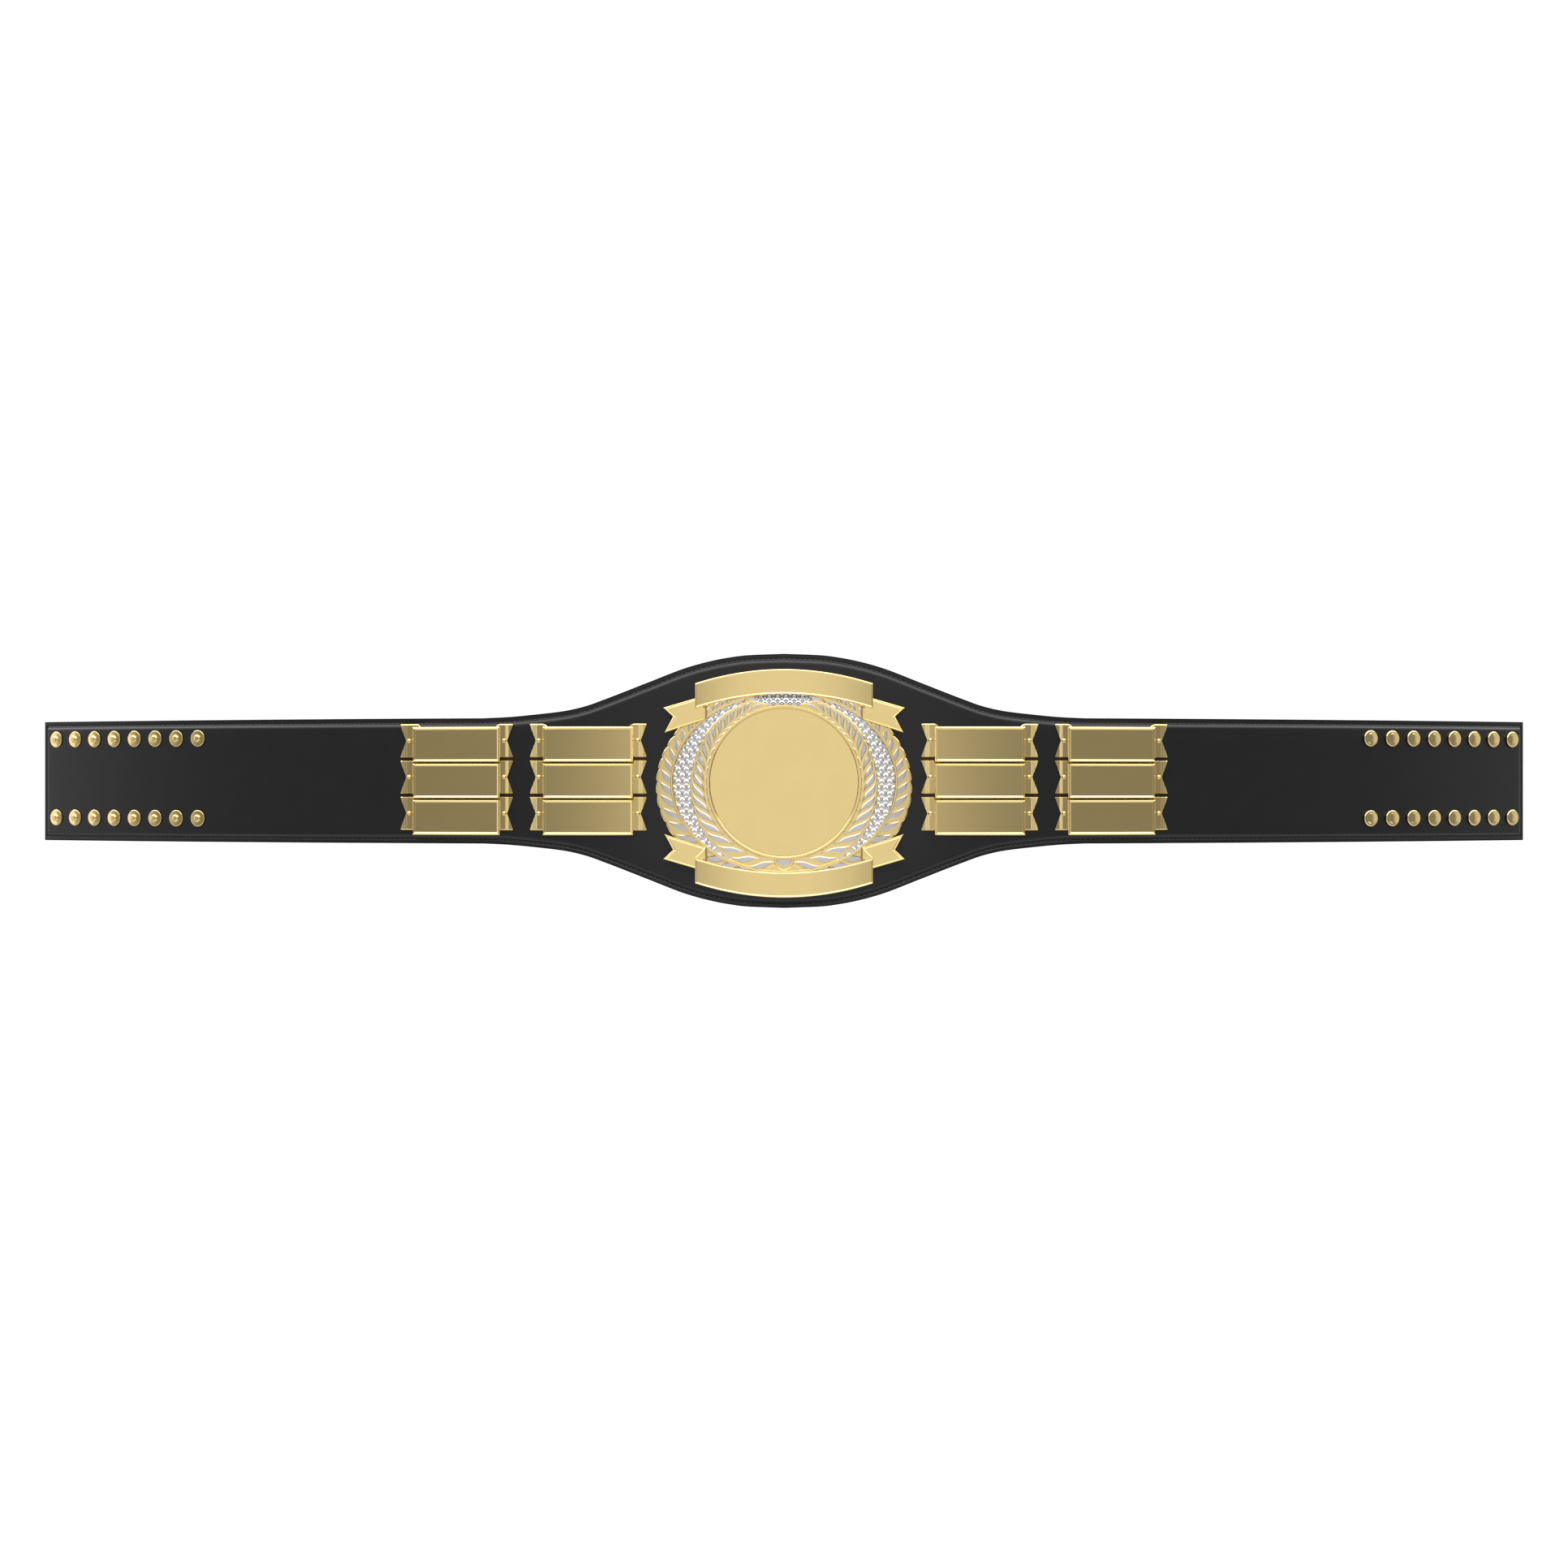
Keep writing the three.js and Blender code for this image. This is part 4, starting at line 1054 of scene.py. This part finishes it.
def inner_tick(i):
    """The visible stub of the leaf on the other side of the stem, which runs under the rim."""
    root_angle = curve_through(column(INNER_LEAVES, 1), i)
    root = plate_point(root_angle - 0.3, TICK_REACH[0])
    tip = plate_point(root_angle + lerp(*TICK_SPAN, i / INNER_COUNT), TICK_REACH[1])
    return leaf_outline(root, tip, lerp(*TICK_WIDTH, smoothstep(i, 5, 12)), TICK_SWELL, 0, 0, 6)


def outer_leaf(i):
    """Outline of a leaf of the outer branch, whose root lies under the rail."""
    tip_angle = curve_through(column(OUTER_LEAVES, 1), i)
    tip_reach = curve_through(column(OUTER_LEAVES, 2), i)
    lean = curve_through(column(OUTER_LEAVES, 3), i)
    root_reach = ellipse_reach(tip_angle - lean, RAIL_HALF_LENGTH, RAIL_HALF_HEIGHT) - OUTER_UNDER_RAIL
    root = plate_point(tip_angle - lean, root_reach)
    tip = plate_point(tip_angle, tip_reach)
    width = OUTER_LEAF_WIDTH * lerp(*OUTER_NARROWING, smoothstep(i, 6, 15))
    return leaf_outline(root, tip, width, OUTER_SWELL, 0, OUTER_BOW)


def inner_edge_reach(angle):
    """Outer edge of the inner branch: a low saw of leaf tips, and a pointed end."""
    tips = [curve_through(column(INNER_LEAVES, 2), i) for i in range(INNER_COUNT - 1)]
    reaches = [curve_through(column(INNER_LEAVES, 3), i) + INNER_MARGIN for i in range(INNER_COUNT - 1)]
    full = curve_through(list(zip(tips, reaches)), angle)
    above = [a - angle for a in tips if a >= angle]
    saw = 1 - min(above[0] / INNER_SAW_PITCH, 1) if above else 1
    notched = full - INNER_SAW * (1 - saw) ** 1.5
    rail = ellipse_reach(angle, RAIL_HALF_LENGTH - RAIL_WIDTH, RAIL_HALF_HEIGHT - RAIL_WIDTH) - 0.1
    return lerp(min(notched, rail), INNER_END_REACH, smoothstep(angle, *INNER_END))


def outer_edge_reach(angle):
    """Outer edge of the outer branch: rounded leaf lobes."""
    tips = [curve_through(column(OUTER_LEAVES, 1), i) for i in range(OUTER_COUNT)]
    reaches = [curve_through(column(OUTER_LEAVES, 2), i) + OUTER_MARGIN for i in range(OUTER_COUNT)]
    full = curve_through(list(zip(tips, reaches)), angle)
    before = max([a for a in tips if a <= angle], default=tips[0] - 7)
    after = min([a for a in tips if a > angle], default=tips[-1] + 6)
    share = (angle - before) / (after - before)
    lobe = math.sin(math.pi * min(share, 1) ** 0.75) ** 0.5 if share > 0 else 0
    return full - OUTER_NOTCH * (1 - lobe)


def branch(name, side, span, reaches, low, top, level, node_name, leaves, ticks):
    """A branch: its gold base plate, a fine gold lip round each leaf, and the silver leaves."""
    start, end, per_degree = span
    inner_reach, outer_reach = reaches
    skin = Skin()
    rows = []
    for angle in steps(start, end, int((end - start) * per_degree)):
        near, far = inner_reach(angle), outer_reach(angle)
        section = [
            (near, low), (near, top - 0.2), (near + 0.2, top), (lerp(near, far, 0.5), top),
            (far - 1.0, top), (far - 0.75, top), (far - 0.45, top - 0.1), (far, top - 0.5),
            (far, low + 0.2), (far - 0.2, low),
        ]
        row = []
        for reach, h in section:
            point = plate_point(angle, reach)
            raised = level.at(point) if h > top - 1 else 0
            row.append(place_on(side, point, h + raised))
        rows.append(row)
    looks = [EDGE, EDGE, FLAT, FLAT, FLAT, EDGE, EDGE, EDGE, EDGE, EDGE]
    ids = skin.grid(rows, around_row=True, looks=looks)
    skin.close(ids, EDGE)
    for outline in leaves:
        bead_skin(skin, side, grown(outline, LIP_MARGIN), top, level, LIP_RADIUS)
    piece(name, skin, PLATE_LOOKS, [node_name])
    silver = Skin()
    for outline in leaves:
        leaf_skin(silver, side, outline, top + 0.1, level, *LEAF_BEVEL)
    for outline in ticks:
        leaf_skin(silver, side, outline, top + 0.25, level, *TICK_BEVEL)
    piece(name + "_leaves", silver, [SATIN], sharp=25)


def make_branches():
    for side, word in ((-1, "left"), (1, "right")):
        inner = [inner_leaf(i) for i in range(INNER_COUNT)]
        ticks = [inner_tick(i) for i in range(1, INNER_COUNT - 1)]
        branch(
            f"inner_branch_{word}", side, (13, INNER_END[1], 3),
            (lambda angle: BRANCH_INNER_REACH, inner_edge_reach), ON_PLATE, LAUREL_TOP, INNER_LEVEL,
            f"inner_laurel_{word}", inner, ticks,
        )
        outer = [outer_leaf(i) for i in range(OUTER_COUNT)]
        branch(
            f"outer_branch_{word}", side, (12, 156, 4), (rail_reach, outer_edge_reach),
            SEAT, OUTER_TOP, OUTER_LEVEL, f"outer_laurel_{word}", outer, [],
        )


# Bud and the curved lines beside it, from the disc's centre.
BUD_TOP = -61.9
BUD_HALF_SPAN = 16
BUD_STEPS = 28
BUD_SILVER = (5.9, 5.3)
BUD_RING = (7.7, 8.1)
FAN_LINES = [
    [(6.9, -64.5), (11.8, -66.2), (15, -68.3), (18, -70.1)],
    [(6.4, -66.1), (10.8, -67.7), (12.9, -69.6), (14.3, -70.6)],
]


def half_oval(size, count):
    """The lower half of an oval that hangs from the bud's top."""
    turns = [math.pi * (1 + k / count) for k in range(count + 1)]
    return [Vector((size[0] * math.cos(a), BUD_TOP + size[1] * math.sin(a))) for a in turns]


def make_bud():
    """The half-round silver bud at the bottom, in its gold ring, on a gold ground."""
    skin = Skin()
    top = LAUREL_TOP
    ground = []
    for angle in steps(-BUD_HALF_SPAN, BUD_HALF_SPAN, 32):
        far = ellipse_reach(angle, RAIL_HALF_LENGTH - RAIL_WIDTH, RAIL_HALF_HEIGHT - RAIL_WIDTH)
        ground.append([
            place_on(1, plate_point(angle, reach), h)
            for reach, h in ((61.8, ON_PLATE), (61.8, top), (far, top), (far, ON_PLATE))
        ])
    ids = skin.grid(ground, around_row=True, looks=[EDGE, FLAT, EDGE, EDGE])
    skin.close(ids, EDGE)
    bead_skin(skin, 1, half_oval(BUD_RING, BUD_STEPS), top, INNER_LEVEL, 0.25, closed=False, sides=8)
    lip = (BUD_SILVER[0] + 0.25, BUD_SILVER[1] + 0.25)
    bead_skin(skin, 1, half_oval(lip, BUD_STEPS), top, INNER_LEVEL, 0.22, closed=False)
    for side in (-1, 1):
        for rows in FAN_LINES:
            fan = [Vector((x, curve_through(rows, x))) for x in steps(rows[0][0], rows[-1][0], 10)]
            bead_skin(skin, side, fan, top, INNER_LEVEL, 0.26, closed=False)
    piece("bud_ground", skin, PLATE_LOOKS, ["laurel_bud"])
    silver = Skin()
    rows = []
    for inset, rise in ((0, -1.5), (0, 0.15), (0.5, 0.5), (2.5, 0.6)):
        oval = half_oval((BUD_SILVER[0] - inset, BUD_SILVER[1] - inset), BUD_STEPS)
        rows.append([place_on(1, p, top + rise) for p in oval])
    grid = silver.grid(rows)
    for i in range(len(grid) - 1):
        silver.face((grid[i][0], grid[i + 1][0], grid[i + 1][-1], grid[i][-1]))
    silver.face(grid[-1])
    silver.face(reversed(grid[0]))
    piece("bud_silver", silver, [SATIN], sharp=25)


# Stones

STONE_PITCH = 6.5
STONE_ROW_PITCH = 4.92
STONE_ROW_START = -2.2
BED_TOP = 3.1

# Right half of a kite-shaped stone from its top corner down: the girdle and the table, as (x, z).
GIRDLE = [(0, 0), (1.0, -0.9), (2.0, -1.8), (1.4, -2.7), (0.75, -4.0), (0, -5.2)]
TABLE = [(0, -1.05), (0.6, -1.6), (1.25, -2.15), (0.95, -2.8), (0.45, -3.7), (0, -4.4)]
STONE_DROP = 2.98
STONE_LENGTH = 5.2
FIELD_END_ANGLE = 156
FIELD_BED = (24, 152)
TOP_BED = (156, 180)
GIRDLE_HEIGHT = 3.45
TABLE_HEIGHT = 4.05

# The closer rows of smaller stones in the window at the top.
TOP_PITCH = 6.64
TOP_ROW_PITCH = 2.13
TOP_START = Vector((1.5, 62.35))
TOP_SCALE = (1.1, 0.62)
TOP_COLUMNS = 4
TOP_HALF_LENGTH = 23
TOP_ROWS = 5

# The claw above each stone: an arch whose face leans up.
CLAW_OUTER = (1.9, 1.85)
CLAW_INNER = (1.05, 0.78)
CLAW_LEAN = 0.4
CLAW_STEPS = 10
CLAW_FOOT = 3.55
TOP_CLAW_SCALE = (1.15, 0.78)
TOP_CLAW_UP = 0.9
TOP_ROW_STEP = 0.12


def field_span(angle):
    """Inner and outer reach between the inner branch and the rail."""
    inner = 62.5 if angle > 160 else inner_edge_reach(angle) - 0.9
    outer = ellipse_reach(angle, RAIL_HALF_LENGTH, RAIL_HALF_HEIGHT) - 2.1
    return inner, outer


def in_field(x, z, below, above):
    """Whether a point lies in the field, widened by a margin at its inner and its outer edge."""
    inner, outer = field_span(math.degrees(math.atan2(abs(x), -z)))
    return inner - below < math.hypot(x, z) < outer + above


def stone_places(side):
    """Top points of the claws of a side field on a staggered lattice, with what fits there."""
    for row in range(-16, 17):
        for step in range(-15, 16):
            x = (step + (0.5 if row % 2 == 0 else 0)) * STONE_PITCH
            z = STONE_ROW_START + row * STONE_ROW_PITCH
            if side * x > 0 and math.degrees(math.atan2(abs(x), -z)) < FIELD_END_ANGLE:
                with_stone = in_field(x, z - STONE_DROP - STONE_LENGTH / 2, 1.2, 0.3)
                with_claw = in_field(x, z - CLAW_OUTER[1] / 2, -0.4, 0.4)
                yield Vector((x, z)), with_stone, with_claw


def top_places():
    """Top corners of the small stones, row by row upward, where they fit the window."""
    for row in range(TOP_ROWS):
        for step in range(-TOP_COLUMNS, TOP_COLUMNS + 1):
            place = TOP_START + Vector(((step - (row % 2) / 2) * TOP_PITCH, row * TOP_ROW_PITCH))
            inner = inner_edge_reach(math.degrees(math.atan2(abs(place.x), -place.y)))
            if place.length > inner - 1 and abs(place.x) < TOP_HALF_LENGTH:
                yield row, place


def both_halves(half):
    """A closed outline from its right half, which starts and ends on the middle line."""
    return half + [(-x, z) for x, z in reversed(half[1:-1])]


def stone_skin(skin, top, stretch=(1, 1), rise=0):
    girdle = [Vector((x * stretch[0], z * stretch[1])) for x, z in both_halves(GIRDLE)]
    table = [Vector((x * stretch[0], z * stretch[1])) for x, z in both_halves(TABLE)]
    rows = [
        [place_on(1, top + point, ON_PLATE) for point in girdle],
        [place_on(1, top + point, GIRDLE_HEIGHT + rise) for point in girdle],
        [place_on(1, top + point, TABLE_HEIGHT + rise) for point in table],
    ]
    ids = skin.grid(rows, around_row=True, flat=True)
    skin.face(ids[-1], flat=True)
    skin.face(reversed(ids[0]), flat=True)


def claw_skin(skin, top, scale=(1, 1), rise=0):
    """An arch that holds the stone below it. Its face leans up, and its sides are upright."""
    stretch = Vector(scale)
    centre = top - Vector((0, CLAW_OUTER[1] * stretch.y))
    rows = []
    for turn in [math.radians(a) for a in steps(-8, 188, CLAW_STEPS)]:
        outer = centre + Vector((CLAW_OUTER[0] * math.cos(turn), CLAW_OUTER[1] * math.sin(turn))) * stretch
        inner = centre + Vector((CLAW_INNER[0] * math.cos(turn), CLAW_INNER[1] * math.sin(turn))) * stretch
        faces = [CLAW_FOOT + rise + CLAW_LEAN * (top.y - point.y) for point in (outer, inner)]
        rows.append([
            place_on(1, outer, ON_PLATE), place_on(1, outer, faces[0]),
            place_on(1, inner, faces[1]), place_on(1, inner, ON_PLATE),
        ])
    ids = skin.grid(rows, around_row=True, flat=True)
    skin.close(ids, flat=True)


def bed_skin(skin, side, start, end):
    """The silver bed under the stones."""
    rows = []
    for angle in steps(start, end, 48):
        inner = field_span(angle)[0]
        outer = ellipse_reach(angle, RAIL_HALF_LENGTH, RAIL_HALF_HEIGHT) - 1
        section = [(inner, ON_PLATE), (inner, BED_TOP), (outer, BED_TOP), (outer, ON_PLATE)]
        rows.append([around(side, angle, reach, h) for reach, h in section])
    ids = skin.grid(rows, around_row=True)
    skin.close(ids)


def make_stones():
    """The three fields: stones and claws of the two sides, and the smaller ones of the top window."""
    for side, word in ((-1, "left"), (1, "right")):
        skin = Skin()
        for top, with_stone, with_claw in stone_places(side):
            if with_stone:
                stone_skin(skin, top - Vector((0, STONE_DROP)))
            if with_claw:
                claw_skin(skin, top)
        bed_skin(skin, side, *FIELD_BED)
        piece(f"stones_{word}", skin, [FACETS], [f"stone_field_{word}"], sharp=28)
    skin = Skin()
    for row, top in top_places():
        rise = TOP_ROW_STEP * (TOP_ROWS - row)
        stone_skin(skin, top, TOP_SCALE, rise)
        claw_skin(skin, top + Vector((0, TOP_CLAW_UP)), TOP_CLAW_SCALE, rise + TOP_ROW_STEP)
    for side in (-1, 1):
        bed_skin(skin, side, *TOP_BED)
    piece("stones_top", skin, [FACETS], ["stone_field_top"], sharp=28)


# Banners

BANNER_HALF_LENGTH = 70.8
BANNER_HEIGHT = 19.8
BANNER_SAG = 11.3
BANNER_MIDDLE = 81.3
BANNER_DROP = 0.8
BANNER_LOW = 6.6
BANNER_END_FALL = 1
BANNER_THICKNESS = 1.7
BANNER_COLUMNS = 48

# Banner section from edge to edge: inset from the edge, drop below its top, and look.
BANNER_FRAME = [
    (0.15, BANNER_THICKNESS, EDGE), (0, BANNER_THICKNESS - 0.2, EDGE), (0, 0.6, EDGE), (0.05, 0.52, EDGE),
    (0.55, 0.05, EDGE), (0.65, 0, EDGE), (0.75, 0.04, EDGE), (1.3, 0.44, EDGE), (1.4, 0.48, FLAT),
    (1.6, 0.48, FLAT),
]

# Outline of a tail: share of BANNER_HALF_LENGTH and share of BANNER_MIDDLE, from its root round its tips.
TAIL_ROOT_LOW, TAIL_TIP_LOW, TAIL_NOTCH_POINT, TAIL_TIP_HIGH, TAIL_ROOT_HIGH = (
    (0.881, 0.629), (1.345, 0.499), (1.247, 0.655), (1.357, 0.744), (0.881, 0.867),
)
FOLD = [(70.8, 59.7), (62.4, 51.1), (62.4, 60.2)]
TAIL_LOW, TAIL_FACE = 5.2, 5.95
FOLD_LOW, FOLD_FACE = 5.3, 6.4
FOLD_LINE = [(62.4, 51.3), (61.4, 51.6), (61.4, 62), (62.4, 62)]


def banner_point(up, s, z, h):
    return spot(s, -PLATE_DROP - BANNER_DROP + up * z, h)


def banner_band(skin, up):
    """The arched band: rings of its frame from the outside in, then its recessed face."""
    rings = []
    for inset, drop, look in BANNER_FRAME:
        half = BANNER_HALF_LENGTH - inset
        ring = []
        for edge in (-1, 1):
            for s in steps(-edge * half, edge * half, BANNER_COLUMNS):
                share = abs(s) / BANNER_HALF_LENGTH
                centre = BANNER_MIDDLE - BANNER_SAG * share ** 2
                z = centre - edge * (BANNER_HEIGHT / 2 - inset)
                h = BANNER_LOW + BANNER_THICKNESS - BANNER_END_FALL * share ** 3 - drop
                ring.append(banner_point(up, s, z, h))
        rings.append((skin.add(ring), look))
    count = 2 * (BANNER_COLUMNS + 1)
    for (outer, _), (inner, _) in zip(rings, rings[1:]):
        wall_between(skin, outer, inner, EDGE)
    for ring, look in ((rings[-1][0], FLAT), (rings[0][0], EDGE)):
        for j in range(BANNER_COLUMNS):
            skin.face((ring[j], ring[j + 1], ring[count - 2 - j], ring[count - 1 - j]), look)


def inset_polygon(points, inset):
    """The corners of a polygon moved inward by an inset."""
    count = len(points)
    area = sum(a.x * b.y - b.x * a.y for a, b in zip(points, points[1:] + points[:1]))
    sign = 1 if area > 0 else -1
    made = []
    for i, point in enumerate(points):
        before = (point - points[i - 1]).normalized()
        after = (points[(i + 1) % count] - point).normalized()
        n0 = Vector((-before.y, before.x)) * sign
        n1 = Vector((-after.y, after.x)) * sign
        made.append(point + (n0 + n1) * inset / (1 + n0.dot(n1)))
    return made


def framed_plate(skin, up, side, points, low, top, frame):
    """A flat plate that faces the front, with a worked frame along its outline."""
    rings = []
    for inset, drop in frame:
        ring = []
        for p in inset_polygon(points, inset):
            h = low if drop > top - low else top - drop + rise_to_front(p.x, FOLD[1][0])
            ring.append(banner_point(up, side * p.x, p.y, h))
        rings.append(skin.add(ring))
    for outer, inner in zip(rings, rings[1:]):
        wall_between(skin, outer, inner, EDGE)
    skin.face(rings[-1], FLAT)
    skin.face(reversed(rings[0]), EDGE)


def fold_line_skin(skin, up, side):
    """The narrow turned-under strip at the inner end of a tail. It slopes away from the fold."""
    tops = [FOLD_FACE - 0.1, FOLD_FACE - 0.35, FOLD_FACE - 0.35, FOLD_FACE - 0.1]
    upper = skin.add([banner_point(up, side * x, z, h) for (x, z), h in zip(FOLD_LINE, tops)])
    lower = skin.add([banner_point(up, side * x, z, FOLD_LOW) for x, z in FOLD_LINE])
    wall_between(skin, lower, upper, EDGE)
    skin.face(upper, EDGE)
    skin.face(reversed(lower), EDGE)


# Frames from the outline inward: inset and drop below the plate's face.
TAIL_FRAME = [
    (0.1, 9), (0, 1.1), (0, 0.5), (0.06, 0.4), (0.45, 0.03), (0.6, 0), (0.8, 0.04), (1.2, 0.4), (1.3, 0.44),
    (1.4, 0.4), (1.8, 0.04), (1.95, 0), (2.15, 0),
]
FOLD_FRAME = [(0.05, 9), (0, 0.6), (0.05, 0.4), (0.4, 0.05), (0.5, 0), (0.65, 0)]


def make_banners():
    scale = Vector((BANNER_HALF_LENGTH, BANNER_MIDDLE))
    outline = [Vector(p) * scale for p in (
        TAIL_ROOT_LOW, TAIL_TIP_LOW, TAIL_NOTCH_POINT, TAIL_TIP_HIGH, TAIL_ROOT_HIGH)]
    for up, word in ((1, "top"), (-1, "bottom")):
        skin = Skin()
        banner_band(skin, up)
        for side in (-1, 1):
            framed_plate(skin, up, side, outline, TAIL_LOW, TAIL_FACE, TAIL_FRAME)
            framed_plate(skin, up, side, [Vector(p) for p in FOLD], FOLD_LOW, FOLD_FACE, FOLD_FRAME)
            fold_line_skin(skin, up, side)
        piece(f"{word}_banner_look", skin, PLATE_LOOKS, [f"{word}_banner"], sharp=24)


# Studio

FLOOR_HEIGHT = -1.0
FLOOR_BACK = 1.2
FLOOR_FRONT = -2.2
FLOOR_HALF_WIDTH = 2.2


def math_node(tree, operation, first, second=None):
    made = node(tree, "ShaderNodeMath", operation=operation)
    for socket, value in zip(made.inputs, (first, second)):
        if value is None:
            continue
        if isinstance(value, (int, float)):
            socket.default_value = value
        else:
            tree.links.new(value, socket)
    return made.outputs[0]


def ramp_between(tree, value, low, high, at_low, at_high):
    made = node(tree, "ShaderNodeMapRange", interpolation_type="SMOOTHSTEP")
    tree.links.new(value, made.inputs["Value"])
    made.inputs["From Min"].default_value = low
    made.inputs["From Max"].default_value = high
    made.inputs["To Min"].default_value = at_low
    made.inputs["To Max"].default_value = at_high
    return made.outputs["Result"]


def make_world():
    """A white room: a soft front light, a strong overhead light, weaker sides and a grey rest."""
    world = bpy.data.worlds.new("studio")
    bpy.context.scene.world = world
    world.use_nodes = True
    tree = world.node_tree
    tree.nodes.clear()
    place = node(tree, "ShaderNodeTexCoord").outputs["Generated"]
    split = node(tree, "ShaderNodeSeparateXYZ")
    tree.links.new(place, split.inputs[0])
    x, y, z = split.outputs
    signed = math_node(tree, "ARCTAN2", x, math_node(tree, "MULTIPLY", y, -1))
    turn = math_node(tree, "ABSOLUTE", signed)
    front = ramp_between(tree, turn, math.radians(1.5), math.radians(23.6), 0.76, 0)
    side = ramp_between(tree, turn, math.radians(54), math.radians(84), 0, 0.45)
    box_near = ramp_between(tree, signed, math.radians(-76), math.radians(-73), 0.5, 0)
    box_far = ramp_between(tree, signed, math.radians(-108), math.radians(-96), 0, 1)
    above = ramp_between(tree, z, math.sin(math.radians(24)), math.sin(math.radians(30)), 0, 2.4)
    below = ramp_between(tree, z, -0.5, -0.2, 0, 1)
    floor_light = ramp_between(tree, z, -0.95, -0.7, 0.3, 0)
    box = math_node(tree, "MULTIPLY", box_near, box_far)
    level = math_node(tree, "ADD", math_node(tree, "ADD", front, side), box)
    walls = math_node(tree, "MULTIPLY", level, below)
    upright = math_node(tree, "ADD", math_node(tree, "ADD", walls, above), floor_light)
    total = math_node(tree, "ADD", upright, 0.28)
    light = node(tree, "ShaderNodeBackground")
    tree.links.new(total, light.inputs["Strength"])
    paper = node(tree, "ShaderNodeBackground")
    paper.inputs["Strength"].default_value = 1.05
    for shader in (light, paper):
        shader.inputs["Color"].default_value = (1, 1, 1, 1)
    seen = node(tree, "ShaderNodeLightPath").outputs["Is Camera Ray"]
    mix = node(tree, "ShaderNodeMixShader")
    tree.links.new(seen, mix.inputs[0])
    tree.links.new(light.outputs[0], mix.inputs[1])
    tree.links.new(paper.outputs[0], mix.inputs[2])
    out = node(tree, "ShaderNodeOutputWorld")
    tree.links.new(mix.outputs[0], out.inputs["Surface"])


def make_floor():
    """A plain pale floor far below the belt, which is shown as it is worn."""
    made = surface("pale floor", (0.36, 0.36, 0.36), 0.9, 0)[0]
    skin = Skin()
    ids = skin.add([
        Vector((x, y, FLOOR_HEIGHT))
        for x, y in (
            (-FLOOR_HALF_WIDTH, FLOOR_FRONT), (FLOOR_HALF_WIDTH, FLOOR_FRONT),
            (FLOOR_HALF_WIDTH, FLOOR_BACK), (-FLOOR_HALF_WIDTH, FLOOR_BACK))
    ])
    skin.face(ids)
    floor = bpy.data.objects.new("floor", skin.mesh("floor", [made]))
    bpy.context.scene.collection.objects.link(floor)


def make_camera():
    """A level camera in front of the belt."""
    data = bpy.data.cameras.new("camera")
    data.lens = CAMERA_LENS
    data.sensor_width = CAMERA_SENSOR
    data.clip_start = 0.1
    data.clip_end = 50
    camera = bpy.data.objects.new("camera", data)
    camera.location = CAMERA_PLACE
    camera.rotation_euler = (math.pi / 2, 0, 0)
    bpy.context.scene.collection.objects.link(camera)
    bpy.context.scene.camera = camera


make_camera()
make_world()
make_floor()
make_strap()
make_stitches()
make_snaps()
make_side_plates()
make_backing()
make_rail()
make_disc()
make_disc_rim()
make_branches()
make_bud()
make_stones()
make_banners()
bpy.context.scene.view_settings.view_transform = "Standard"
